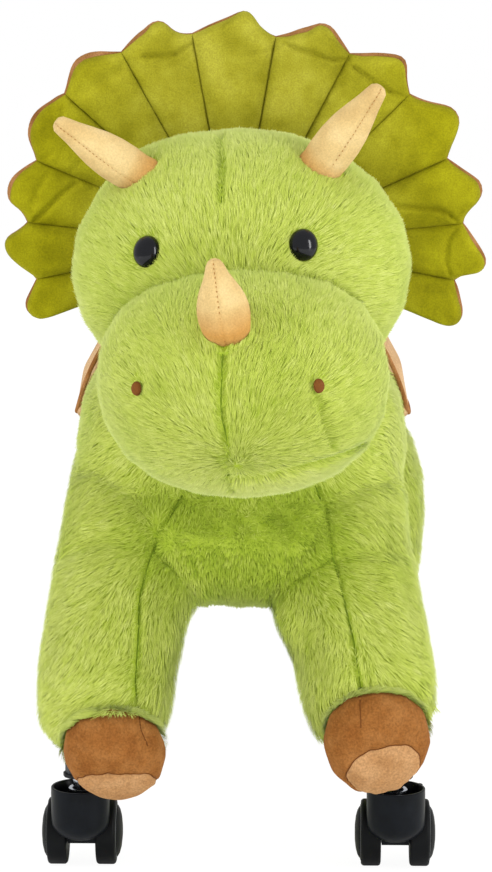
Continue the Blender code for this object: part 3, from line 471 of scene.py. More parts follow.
def pile(name):
    """Long pile: each strand's shade across U (its own tone, with the painted shade that grow lays in),
    and along V painted shade that darkens it towards its root.
    """
    looks = Looks(name, 0.75)
    strand = looks.node("UVMap", uv_map="OFBake")
    parts = looks.node("SeparateXYZ")
    looks.link(strand.outputs["UV"], parts.inputs["Vector"])
    shade = looks.ramp(
        parts.outputs["X"],
        [
            (0.00, (112, 138, 14)),
            (0.28, (162, 184, 48)),
            (0.54, (194, 207, 88)),
            (0.78, (213, 222, 122)),
            (1.00, (232, 237, 156)),
        ],
    )
    # Painted shade: each strand darker towards its root, deep in the pile.
    depth = looks.ramp(parts.outputs["Y"], [(0.0, (214, 220, 178)), (0.5, (255, 255, 255))])
    looks.colour(looks.mix(1.0, shade, depth, "MULTIPLY"))
    looks.set(Sheen_Weight=0.42, Sheen_Roughness=0.5, Sheen_Tint=linear(232, 240, 196))
    looks.set(Specular_IOR_Level=0.25)
    return looks.material


def backing(name):
    """The cloth that the long pile is sewn in, seen only between strands."""
    looks = Looks(name, 0.95)
    place = looks.place()
    shade = looks.noise(place, 90.0, 3.0, 0.6)
    looks.colour(looks.ramp(shade, [(0.3, (150, 172, 44)), (0.7, (180, 198, 72))]))
    looks.bump(looks.noise(place, 1200.0, 1.0), 0.0004, 0.6)
    looks.set(Specular_IOR_Level=0.1)
    return looks.material


def moulded(name, dark, light, roughness, grain=900.0, depth=0.00006):
    """Moulded plastic or rubber: a faint mottle and a fine spark-eroded grain."""
    looks = Looks(name, roughness)
    place = looks.place()
    mottle = looks.noise(place, 60.0, 4.0, 0.6)
    looks.colour(looks.ramp(mottle, [(0.3, dark), (0.7, light)]))
    worn = looks.span(mottle, 0.3, 0.7, roughness - 0.06, roughness + 0.08)
    looks.link(worn, looks.shader.inputs["Roughness"])
    looks.bump(looks.noise(place, grain, 2.0), depth, 0.5)
    looks.set(Specular_IOR_Level=0.14)
    return looks.material


def plated(name, shade, roughness):
    """Bright plated steel with faint turning marks."""
    looks = Looks(name, roughness, 1.0)
    rings = looks.noise(looks.place((1.0, 1.0, 14.0)), 160.0, 2.0)
    dark = tuple(int(value * 0.86) for value in shade)
    looks.colour(looks.ramp(rings, [(0.35, dark), (0.65, shade)]))
    worn = looks.span(rings, 0.3, 0.7, roughness, roughness + 0.10)
    looks.link(worn, looks.shader.inputs["Roughness"])
    return looks.material


def plywood(name):
    looks = Looks(name, 0.62)
    grain = looks.noise(looks.place((60.0, 6.0, 300.0)), 2.0, 6.0, 0.65)
    looks.colour(looks.ramp(grain, [(0.3, (176, 136, 86)), (0.7, (214, 182, 132))]))
    looks.bump(grain, 0.0003, 0.5)
    return looks.material


def glossy_eye(name):
    looks = Looks(name, 0.16)
    depth = looks.noise(looks.place(), 45.0, 2.0)
    looks.colour(looks.ramp(depth, [(0.3, (3, 4, 7)), (0.7, (9, 11, 17))]))
    looks.set(Specular_IOR_Level=0.40)
    return looks.material


def stitched(name, dark, light):
    """Embroidery: rows of thread across the patch."""
    looks = Looks(name, 0.6)
    rows = looks.node("TexWave", Scale=520.0, Distortion=0.6)
    looks.link(looks.place(), rows.inputs["Vector"])
    looks.colour(looks.ramp(rows.outputs["Fac"], [(0.2, dark), (0.8, light)]))
    looks.bump(rows.outputs["Fac"], 0.0004, 0.7)
    looks.set(Specular_IOR_Level=0.1)
    return looks.material


fur = pile("green_pile")
backing_cloth = backing("green_backing")
OLIVE_SHADES = ((150, 145, 30), (168, 163, 45), (182, 177, 60))
# The olive frill gets painted shade towards its two sides.
olive = velour("olive_velour", OLIVE_SHADES, 34.0, 900.0, 0.5, painted_side_shade)
brown_back = velour("brown_velour", ((146, 98, 54), (168, 118, 70), (188, 138, 90)))
CREAM_SHADES = ((206, 174, 116), (218, 188, 129), (227, 199, 142))
hoof_top = velour(
    "hoof_top_velour", ((144, 89, 40), (154, 99, 48), (166, 111, 59)), 60.0, 620.0, 0.6, sheen=0.5
)
hoof_sole = velour(
    "hoof_sole_velour", ((184, 135, 87), (193, 145, 97), (203, 156, 108)), 60.0, 620.0, 0.6, sheen=0.4
)
tan = velour("saddle_tan_velour", ((210, 168, 122), (220, 180, 134), (228, 191, 147)), 26.0)
band = velour("saddle_band_velour", ((150, 98, 52), (168, 114, 64), (184, 130, 80)))
horn_thread = stitched("horn_thread", (150, 98, 44), (196, 144, 78))
# The seam threads are darker than their cloths: partly thread, partly painted shade of each seam's
# groove.
seam_shade_thread = stitched("seam_shade_thread", (110, 136, 26), (130, 156, 42))
olive_seam_shade_thread = stitched("olive_seam_shade_thread", (104, 100, 12), (128, 124, 24))
hoof_thread = stitched("hoof_thread", (96, 52, 18), (130, 80, 38))
nostril_thread = stitched("nostril_thread", (98, 54, 20), (146, 92, 44))
eye_gloss = glossy_eye("eye_gloss")
hood_plastic = moulded("hood_plastic", (7, 10, 14), (16, 20, 26), 0.36)
tyre_plastic = moulded("tyre_plastic", (4, 5, 6), (13, 15, 17), 0.48)
ring_plastic = moulded("ring_plastic", (96, 98, 100), (132, 134, 136), 0.38)
black_plastic = moulded("black_plastic", (24, 24, 25), (40, 41, 43), 0.5)
grip_rubber = moulded("grip_rubber", (26, 26, 27), (46, 46, 48), 0.7, 500.0, 0.00012)
chrome = plated("chrome", (226, 230, 238), 0.10)
zinc = plated("zinc_steel", (190, 188, 180), 0.32)
tube_paint = moulded("tube_paint", (44, 45, 48), (62, 64, 68), 0.42)
ply = plywood("plywood")


# Forms that the pile grows on and stands clear of

trees = {}
for node_name, node_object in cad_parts.items():
    if "caster" not in node_name and "bolt" not in node_name:
        trees[node_name] = tree_of(node_object.data)
soft_names = [
    name
    for name in trees
    if name.endswith(("_plush", "_pad")) or name.startswith(("frill", "hoof", "brow", "nose_horn"))
    or "_leg_" in name and not name.endswith("frame")
]
everything = joined([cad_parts[name].data for name in soft_names])

SKIN_VOXEL = 0.0032
SKIN_ROUNDS = 18
OPEN_REACH = 0.045
SEAM_WIDTH = 0.0024
SEAM_DEPTH = 0.0024
FOLD_WIDTH = 0.0080
FOLD_DEPTH = 0.0022
SEAM_LEAN = 0.0028
FILLET_HEIGHT = 0.0060
FILLET_REACH = 0.014
# How far a skin lies inside its neighbour where no pile is planted any more.
BURIED = 0.0015

# Sewn seams of the body, as broken lines of pixels.
SEAMS = (
    ((223, 345), (222, 370), (222, 400), (224, 430), (228, 460), (231, 492)),
    ((365, 447), (345, 456), (320, 464), (290, 471), (258, 477), (231, 480)),
    ((318, 398), (320, 415), (325, 432), (330, 448)),
    ((222, 136), (221, 150), (222, 170), (221, 190), (222, 207)),
    ((181, 497), (173, 512), (164, 530), (154, 549), (146, 566), (143, 590), (140, 614), (138, 654),
     (138, 685), (141, 711), (144, 728)),
    ((317, 484), (322, 505), (328, 530), (333, 557), (337, 575), (343, 600), (348, 623), (354, 650),
     (358, 670), (361, 704)),
    ((154, 551), (170, 568), (188, 587), (201, 603)),
    ((333, 557), (316, 567), (298, 579), (283, 590), (270, 601)),
)
# Of these, the mouth's line and the crease above it are the deepest, and their pile gets painted shade.
MOUTH_SEAMS = slice(1, 3)
MOUTH_DEPTH = 0.0022
MOUTH_WIDTH = 0.0026
# Folds without a seam, where the legs swell out below the shoulders; the pile in them gets painted
# shade.
FOLDS = (
    ((60, 554), (85, 542), (110, 536), (135, 540), (153, 548)),
    ((336, 556), (352, 549), (370, 545), (392, 545), (412, 549)),
)
# Places where a form is fuller than its CAD solid: a pixel, reach and height in metres.
FULLER = {
    "head_plush": (((146, 158), 0.034, 0.0055), ((90, 245), 0.050, 0.0020)),
    "muzzle_plush": (((112, 350), 0.045, 0.0030),),
    "front_leg_left": (((54, 655), 0.045, 0.0030), ((62, 735), 0.020, 0.0040)),
    "front_leg_right": (((288, 618), 0.020, 0.0080), ((322, 735), 0.020, 0.0030)),
}
# The chest's sewn panel comes forward of its CAD form, up to the front of the legs.
CHEST_FORWARD = 0.035
CHEST_TOP = 0.285
CHEST_REACH = (0.055, 0.090)


class Fitting(NamedTuple):
    """Something that the pile is brushed away from, and covers by a little at most."""

    surface: BVHTree
    low: np.ndarray
    high: np.ndarray
    push: float
    cover: float


CLEAR_REACH = 0.012
fittings = []


def stand_clear(piece, push, cover):
    """Let the pile part round a piece, pushed away from it or drawn over it."""
    points = place_of(piece.data)
    low, high = points.min(axis=0) - CLEAR_REACH, points.max(axis=0) + CLEAR_REACH
    fittings.append(Fitting(tree_of(piece.data), low, high, push, cover))


def openness(points, normals):
    """Share of the sky that each point of a skin can see past the other forms."""
    ahead = unit(normals)
    side = unit(np.cross(ahead, np.array([0.31, 0.17, 0.93])))
    other = np.cross(ahead, side)
    seen = np.zeros(len(points))
    ways = ((0.0, 0.0), (0.8, 0.0), (-0.8, 0.0), (0.0, 0.8), (0.0, -0.8))
    for along, across in ways:
        rays = unit(ahead + along * side + across * other)
        starts = points + ahead * 0.0015
        for index in range(len(points)):
            if everything.ray_cast(starts[index], rays[index], OPEN_REACH)[0] is None:
                seen[index] += 1
    return seen / len(ways)


def eased(share):
    share = np.clip(share, 0, 1)
    return share * share * (3 - 2 * share)


def shape_skin(node):
    """The cloth of one furry form, before its seams are pressed in."""
    skin = softened(node + "_skin", node, SKIN_VOXEL, SKIN_ROUNDS)
    points = place_of(skin.data)
    rise = np.zeros(len(points))
    for pixel, reach, height in FULLER.get(node, ()):
        place = np.array(on_form(trees[node], *pixel))
        rise += height * bell(np.linalg.norm(points - place, axis=1), reach)
    points += normals_of(skin.data) * rise[:, None]
    if node == "torso_plush":
        low = eased((CHEST_TOP - points[:, 2]) / CHEST_REACH[0])
        front = eased((-0.02 - points[:, 1]) / CHEST_REACH[1])
        points += unit(np.array(CAMERA_PLACE) - points) * (CHEST_FORWARD * low * front)[:, None]
    set_places(skin.data, points)
    return skin


def finish_skin(node, skin, depth):
    """Draw a skin in so that the pile fills its form, round it at its neighbours, sew it."""
    points = place_of(skin.data)
    normals = normals_of(skin.data)
    sky = openness(points, normals)
    rise = -depth * np.minimum(1, sky * 1.6)
    for other, surface in surfaces.items():
        if other == node:
            continue
        fillet = "torso" in node + other and "leg" in node + other
        for index, point in enumerate(points):
            place, out, _, far = surface.find_nearest(point, 0.03)
            if place is not None and (Vector(point) - place).dot(out) < -BURIED:
                sky[index] = 0
            if place is not None and fillet:
                rise[index] += FILLET_HEIGHT * bell(far, FILLET_REACH)
    far, _ = nearest_place(points, [place for line in seam_places for place in line])
    rise -= SEAM_DEPTH * bell(far, SEAM_WIDTH)
    rise -= MOUTH_DEPTH * bell(nearest_place(points, mouth_places)[0], MOUTH_WIDTH)
    rise -= FOLD_DEPTH * bell(nearest_place(points, fold_places)[0], FOLD_WIDTH)
    set_places(skin.data, points + normals * rise[:, None])
    skin.data.materials.append(backing_cloth)
    finish_piece(skin, BODY, "green_fur", node)
    return {
        "points": place_of(skin.data),
        "normals": normals_of(skin.data),
        "triangles": triangles_of(skin.data),
        "sky": sky,
    }


def sew(surface):
    """Lay a dark thread in every seam's groove, partly seam thread and partly painted shade of the
    groove, and give back the places along all of them.
    """
    sewn = []
    for index, line in enumerate(seam_places):
        inset = np.array([surface.find_nearest(place)[0] for place in line])
        for _ in range(24):
            inset[1:-1] = 0.5 * inset[1:-1] + 0.25 * (inset[:-2] + inset[2:])
        cord = tube(f"fur_seam_{index + 1}", inset.tolist(), 0.0005, 8, seam_shade_thread)
        finish_piece(cord, BODY, "green_fur")
        sewn += inset.tolist()
    return sewn


# Pile

# Shares of a strand's length and of its half width, from its root to its tip.
BLADE = ((0.0, 1.0), (0.5, 0.85), (1.0, 0.0))
LIFTS = (1.1, 0.45)
CLUMP_SIZE = 13
STRANDS_A_PIECE = 60000
SHADE_WIDTH = 1 / 400
# How much painted shade darkens the pile at each kind of place, and how far from a seam it reaches.
SEAM_PAINTED_SHADE = 0.19
SEAM_PAINTED_SHADE_WIDTH = 0.0030
CHEST_PAINTED_SHADE = 0.30
FOLD_PAINTED_SHADE = 0.06
MOUTH_PAINTED_SHADE = 0.22
NAP_SHORTER = 0.42
NAP_STANDS = 0.42
# Places on the chest under the muzzle where the pile is short and stands up, and where it gets painted
# shade: place and reach.
SHORT_NAP_AND_PAINTED_SHADE = (
    ((-0.022, -0.150, 0.258), 0.050),
    ((0.030, -0.150, 0.258), 0.050),
    ((0.004, -0.130, 0.215), 0.042),
)


class Pile(NamedTuple):
    """One form's pile: its brushing, the strands' length in metres, how far they stand up,
    how deep its backing lies, strands to a square metre, half the width of one and its
    shade from deep to pale."""

    comb: Callable
    length: float
    stand: float
    depth: float
    number_per_area: int
    half_width: float
    shade: float = 0.56


def comb_away(start, back):
    """Pile brushed away from one place and a little back along the toy."""
    start = np.array(start)
    return lambda points: unit(points - start) + np.array([0.0, back, 0.0])


def comb_along(direction, outward):
    """Pile brushed one way, and out to the toy's two sides."""
    direction = np.array(direction)

    def comb(points):
        sideways = np.zeros((len(points), 3))
        sideways[:, 0] = outward * np.tanh(points[:, 0] / 0.03)
        return direction + sideways

    return comb


def planted(skin, wanted, random):
    """Roots scattered evenly over the open part of a skin, and the skin's normals there."""
    corners = skin["triangles"]
    a, b, c = (skin["points"][corners[:, k]] for k in range(3))
    area = np.linalg.norm(np.cross(b - a, c - a), axis=1) / 2
    area = np.where(skin["sky"][corners].mean(axis=1) > 0.25, area, 0.0)
    number = int(area.sum() * wanted * (1.0))
    picked = random.choice(len(corners), number, p=area / area.sum())
    share = random.random((number, 2))
    fold = share.sum(axis=1) > 1
    share[fold] = 1 - share[fold]
    weight = np.column_stack((1 - share.sum(axis=1), share))
    root, normal = (
        np.einsum("nk,nkj->nj", weight, skin[values][corners[picked]])
        for values in ("points", "normals")
    )
    return root, unit(normal)


def flattened(vectors, normal):
    """The part of each vector that lies along the skin."""
    return vectors - normal * np.einsum("nk,nk->n", vectors, normal)[:, None]


def part_round(root, flow):
    """Turn the pile at the fittings; give each strand's room, none where it starts inside one."""
    room = np.full(len(root), 1.0)
    for fitting in fittings:
        beside = ((root > fitting.low) & (root < fitting.high)).all(axis=1)
        for index in np.flatnonzero(beside):
            place, out, _, far = fitting.surface.find_nearest(root[index])
            away = Vector(root[index]) - place
            room[index] = min(room[index], far + fitting.cover if away.dot(out) > 0 else 0.0)
            flow[index] += np.array(away.normalized()) * fitting.push * math.exp(-far / 0.005)
    return room


def lay_over(level, clearance):
    """Lift the points of strands that have run into a fitting on to its surface."""
    for fitting in fittings:
        beside = ((level > fitting.low) & (level < fitting.high)).all(axis=1)
        for index in np.flatnonzero(beside):
            place, out, _, _ = fitting.surface.find_nearest(level[index])
            if (Vector(level[index]) - place).dot(out) < clearance:
                level[index] = place + out * clearance


def gather_clumps(root, levels, loose, random):
    """Draw each strand part of the way to the middle of its clump, which is returned too."""
    number = len(root)
    centres = random.choice(number, max(number // CLUMP_SIZE, 1), replace=False)
    finder = KDTree(len(centres))
    for index in centres:
        finder.insert(root[index], int(index))
    finder.balance()
    chief = np.array([finder.find(place)[1] for place in root])
    pull = (loose * random.uniform(0.06, 0.34, number))[:, None]
    for level, strength in zip(levels[1:], (0.45, 1.0)):
        goal = root + (level[chief] - root[chief])
        level += pull * strength * (0.5 * (level[chief] - level) + 0.5 * (goal - level))
    return chief


def grow(name, skin, sewn, kind, seed):
    """Plant the pile of one form on its backing and give it out in pieces."""
    random = np.random.default_rng(seed)
    root, normal = planted(skin, kind.number_per_area, random)
    flow = kind.comb(root)
    flow = flow + 0.30 * wander(root, 0.034, seed + 1) + 0.12 * wander(root, 0.010, seed + 2)
    room = part_round(root, flow)
    seam, nearest = nearest_place(root, sewn)
    away = unit(flattened(root - nearest, normal))
    flow += away * (1.3 * bell(seam, SEAM_LEAN))[:, None]
    keep = (room > 0) & (random.random(len(root)) < np.clip((seam - 0.0003) / 0.0009, 0, 1))
    root, normal, seam, flow, room = root[keep], normal[keep], seam[keep], flow[keep], room[keep]
    number = len(root)

    near_seam = np.clip(seam / 0.006, 0, 1)
    flow = flow + random.normal(size=(number, 3)) * 0.12
    flow = unit(flattened(flow, normal))
    # nap marks the chest under the muzzle: shorter, standing strands, and painted shade below.
    nap = np.zeros(number)
    for place, reach in SHORT_NAP_AND_PAINTED_SHADE:
        nap = np.maximum(nap, np.exp(-((np.linalg.norm(root - np.array(place), axis=1) / reach) ** 4)))
    fold = bell(nearest_place(root, fold_places)[0], FOLD_WIDTH)
    size = kind.length * random.uniform(0.75, 1.12, number) * (0.40 + 0.60 * near_seam)
    size = np.minimum(size * (1 - NAP_SHORTER * nap), room)
    rise = kind.stand + NAP_STANDS * nap + 0.08 * random.normal(size=number)
    rise = np.clip(rise, 0.12, 0.95)
    levels = [root]
    for step, lift in enumerate(LIFTS):
        climb = np.clip(rise * lift, 0.05, 0.95)[:, None]
        heading = normal * climb + flow * np.sqrt(1 - climb**2)
        run = (BLADE[step + 1][0] - BLADE[step][0]) * size
        levels.append(levels[-1] + heading * run[:, None])
    chief = gather_clumps(root, levels, near_seam, random)
    lay_over(levels[1], 0.0005)
    lay_over(levels[2], 0.0009)

    shade = kind.shade + 0.06 * random.normal(size=number)
    shade += 0.06 * wander(root, 0.040, seed + 3)[:, 0]
    shade += 0.05 * random.normal(size=number)[chief]
    # Painted shade: strands darker along the seams' grooves.
    shade -= SEAM_PAINTED_SHADE * bell(seam, SEAM_PAINTED_SHADE_WIDTH)
    # Painted shade: strands darker along the mouth's line and the crease above it.
    smile = bell(nearest_place(root, mouth_places)[0], MOUTH_WIDTH)
    # Painted shade darkens the strands on the chest, in the leg folds and along the mouth.
    shade = np.clip(shade - CHEST_PAINTED_SHADE * nap - FOLD_PAINTED_SHADE * fold - MOUTH_PAINTED_SHADE * smile, 0.02, 0.98)
    width = kind.half_width * random.uniform(0.75, 1.25, number)
    for first in range(0, number, STRANDS_A_PIECE):
        part = slice(first, min(first + STRANDS_A_PIECE, number))
        piece = blades(
            f"{name}_{first // STRANDS_A_PIECE + 1}",
            [level[part] for level in levels],
            normal[part],
            width[part],
            shade[part],
        )
        finish_piece(piece, BODY, "green_fur")


def blades(name, levels, normal, width, shade):
    """Mesh of tapering strands, a quad and a tip each, shaded like the skin below."""
    number = len(normal)
    heading = unit(levels[-1] - levels[0])
    side = unit(np.cross(heading, normal))
    rows = []
    for level, (_, half) in zip(levels[:-1], BLADE[:-1]):
        reach = side * (half * width)[:, None]
        rows += [level - reach, level + reach]
    rows.append(levels[-1])
    points = np.stack(rows, axis=1).reshape(-1, 3)
    base = np.arange(number)[:, None] * 5
    loops = (base + np.array([[0, 1, 3, 2, 2, 3, 4]])).ravel()
    mesh = bpy.data.meshes.new(name)
    mesh.vertices.add(len(points))
    mesh.vertices.foreach_set("co", points.ravel())
    mesh.loops.add(len(loops))
    mesh.loops.foreach_set("vertex_index", loops)
    mesh.polygons.add(2 * number)
    starts = np.arange(number)[:, None] * 7 + np.array([[0, 4]])
    mesh.polygons.foreach_set("loop_start", starts.ravel())
    mesh.update(calc_edges=True)
    uv = mesh.uv_layers.new(name="OFBake")
    along = np.array([0.0, 0.0, 0.5, 0.5, 1.0])
    across = np.array([-1.0, 1.0, -1.0, 1.0, 0.0]) * SHADE_WIDTH
    corner = loops % 5
    places = np.column_stack((np.repeat(shade, 7) + across[corner], along[corner]))
    uv.data.foreach_set("uv", places.ravel())
    mesh.shade_smooth()
    blade_normal = unit(np.cross(side, heading))
    facing_out = np.sign(np.einsum("nk,nk->n", blade_normal, normal))[:, None]
    soft = unit(0.90 * normal + 0.10 * blade_normal * facing_out)
    mesh.normals_split_custom_set_from_vertices(np.repeat(soft, 5, axis=0).tolist())
    return new_object(name, mesh, fur)


# Head fittings: eyes, nostrils and horns

HEAD_CENTRE = Vector((0.003, -0.155, 0.451))
HEAD_POSE = (
    Matrix.Translation(HEAD_CENTRE)
    @ Matrix.Rotation(math.radians(-2.8), 4, "Z")
    @ Matrix.Rotation(math.radians(-2.0), 4, "Y")
)


def middle_of(node):
    points = place_of(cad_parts[node].data)
    return Vector(points.mean(axis=0))


EYE_DOME = 0.0082
EYE_SHARE = 0.93
# How far each eye sits from its CAD solid, in metres.
EYE_SHIFTS = {"left": (-0.0018, 0.0, 0.0), "right": (0.0, 0.0, 0.0018)}


def make_eye(word):
    """Glossy domed eye along the CAD eye's own axis, with a turned-down rim."""
    node = "eye_" + word
    axis = (middle_of(node) - middle_of("eye_washer_" + word)).normalized()
    points = place_of(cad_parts[node].data)
    middle = middle_of(node)
    shift = Vector(EYE_SHIFTS[word])
    along = (points - np.array(middle)) @ np.array(axis)
    top = along.max()
    radius = np.linalg.norm(points - np.array(middle) - np.outer(along, axis), axis=1).max() * EYE_SHARE
    seat = facing(middle + axis * (top - EYE_DOME) + shift, axis)
    tall = Matrix.Diagonal((0.92, 1.03, 1.0, 1.0))
    profile = []
    for step in range(17):
        angle = math.pi / 2 * step / 16
        profile.append((radius * math.sin(angle), EYE_DOME * math.cos(angle)))
    profile += [(radius * 0.97, -0.0008), (radius * 0.80, -0.0012), (0.0024, -0.0012)]
    profile += [(0.0024, -0.0130), (0.0, -0.0130)]
    eye = turned("eye_" + word + "_dome", profile, 64, seat @ tall, eye_gloss, sharp=60)
    finish_piece(eye, BODY, "eye_black", node)
    stand_clear(eye, 0.5, 0.0026)


def make_nostril(word):
    """Satin-stitched oval let into the muzzle."""
    node = "nostril_" + word
    middle = middle_of(node)
    axis = trees["muzzle_plush"].find_nearest(middle)[1]
    axis = axis if axis.y < 0 else -axis
    profile = [(0.0, 0.0016), (0.0020, 0.0014), (0.0034, 0.0007), (0.0043, -0.0006)]
    profile += [(0.0044, -0.0016), (0.0, -0.0018)]
    seat = facing(middle + axis * 0.0024, axis)
    tall = Matrix.Diagonal((0.98, 1.12, 1.0, 1.0))
    pad = turned("nostril_" + word + "_stitch", profile, 32, seat @ tall, nostril_thread, sharp=80)
    finish_piece(pad, BODY, "nostril_thread", node)
    stand_clear(pad, 1.0, 0.0006)


NOSE_LEAN = (-0.12, -math.sin(math.radians(16)), math.cos(math.radians(16)))
# Shares of a horn's length and of its radius: sewn foot, gathered waist, body, tip.
HORN_SHAPE = (
    (-0.14, 0.88), (-0.03, 1.00), (0.05, 0.97), (0.12, 0.94), (0.24, 0.98), (0.40, 0.94), (0.56, 0.84),
    (0.70, 0.69), (0.82, 0.54), (0.91, 0.45), (0.970, 0.38), (1.000, 0.23), (1.010, 0.0),
)
NOSE_SHAPE = (
    (-0.20, 0.20), (-0.14, 0.42), (-0.07, 0.66), (0.02, 0.86), (0.11, 0.95), (0.22, 1.00), (0.33, 0.98),
    (0.45, 0.90), (0.57, 0.78), (0.68, 0.63), (0.80, 0.46), (0.92, 0.34), (0.975, 0.24), (1.000, 0.14),
    (1.010, 0.0),
)


def leaning(aside, ahead):
    """Direction that leans to the right and forward by two angles in degrees."""
    turn = math.radians(aside)
    return (math.sin(turn), -math.tan(math.radians(ahead)), math.cos(turn))


# Foot in the head's own axes, direction, length, radius, shape and the turn of the seam.
HORNS = {
    "brow_horn_left": ((-0.0620, -0.034, 0.0680), leaning(-54, 14), 0.078, 0.0160, HORN_SHAPE, -22.0),
    "brow_horn_right": ((0.0550, -0.034, 0.0680), leaning(39, 14), 0.082, 0.0168, HORN_SHAPE, 24.0),
    "nose_horn": ((0.0015, -0.169, -0.025), NOSE_LEAN, 0.054, 0.0182, NOSE_SHAPE, -8.0),
}
HORN_RINGS = 72
HORN_SIDES = 72
HORN_SEAM_DEPTH = 0.0010
HORN_SEAM_WIDTH = 0.0010
PLEATS = 17
PLEAT_DEPTH = 0.00035
STITCH_PITCH = 0.0026
STITCH_SIDES = 6
# Places along a stitch and its radius there, in metres.
STITCH_SHAPE = ((-0.0008, 0.0), (-0.0004, 0.00028), (0.0004, 0.00028), (0.0008, 0.0))


def shape_at(shape, share):
    return float(np.interp(share, [row[0] for row in shape], [row[1] for row in shape]))


def make_horn(name, base, direction, length, radius, shape, seam_turn):
    """Stuffed horn with a sewn seam down its front, gathered where it joins the head."""
    foot = HEAD_POSE @ Vector(base)
    along = (HEAD_POSE.to_3x3() @ Vector(direction).normalized()).normalized()
    front = (Vector((0.0, -1.0, 0.0)) + along * along.y).normalized()
    side = along.cross(front)
    start, end = shape[0][0], shape[-1][0]
    points = []
    seam_line = []
    for ring in range(HORN_RINGS):
        turn = math.pi / 2 * ring / (HORN_RINGS - 1)
        share = start + (end - start) * math.sin(turn) ** 0.85
        reach = radius * shape_at(shape, share)
        gather = max(0.0, 1 - abs(share - 0.06) / 0.12)
        seam_angle = math.radians(seam_turn * (1 - 0.35 * share))
        for step in range(HORN_SIDES):
            angle = math.tau * step / HORN_SIDES
            off = (angle - seam_angle + math.pi) % math.tau - math.pi
            groove = HORN_SEAM_DEPTH * bell(off * max(reach, 0.002), HORN_SEAM_WIDTH)
            pleat = PLEAT_DEPTH * gather * math.sin(angle * PLEATS + 2.0 * math.sin(angle * 3))
            dent = 0.0006 * math.sin(angle * 2 + share * 9) * (1 - share)
            out = max(reach - groove * min(1, reach / 0.004) + pleat + dent, 0.0)
            if ring == HORN_RINGS - 1:
                out = 0.0
            spoke = front * math.cos(angle) + side * math.sin(angle)
            points.append(foot + along * (share * length) + spoke * out)
        spoke = front * math.cos(seam_angle) + side * math.sin(seam_angle)
        seam_line.append((foot + along * (share * length) + spoke * (reach - 0.0007), spoke))
    rings = [range(first, first + HORN_SIDES) for first in range(0, len(points), HORN_SIDES)]
    faces = bridged(rings) + [list(rings[0])[::-1]]
    mesh = cleaned(mesh_from(name + "_cover", points, faces), weld=0.00001)
    # The horn's cloth gets painted shade towards its foot.
    shaded_foot = painted_foot_shade(foot, radius, radius * 1.6)
    cream = velour(name + "_velour", CREAM_SHADES, speck=0.3, over=shaded_foot)
    horn = new_object(name + "_cover", mesh, cream)
    finish_piece(horn, BODY, "cream_velour", name)
    make_stitches(name + "_stitches", seam_line, horn_thread)
    stand_clear(horn, 0.2, 0.0045)


def make_stitches(name, line, material):
    """Short stitches let into a seam. Each place on the line comes with its way out."""
    points = []
    faces = []
    gone = 0.0
    for (here, out), (there, _) in zip(line, line[1:]):
        gone += (there - here).length
        if gone < STITCH_PITCH:
            continue
        gone = 0.0
        run = (there - here).normalized()
        side = run.cross(out).normalized()
        rings = []
        for far, wide in STITCH_SHAPE:
            rings.append(range(len(points), len(points) + STITCH_SIDES))
            for turn in range(STITCH_SIDES):
                angle = math.tau * turn / STITCH_SIDES
                spoke = side * math.cos(angle) + out * math.sin(angle)
                points.append(here + run * far + spoke * wide)
        faces += bridged(rings[::-1])
    mesh = mesh_from(name, points, faces)
    stitches = new_object(name, mesh, material)
    finish_piece(stitches, BODY, "cream_velour")


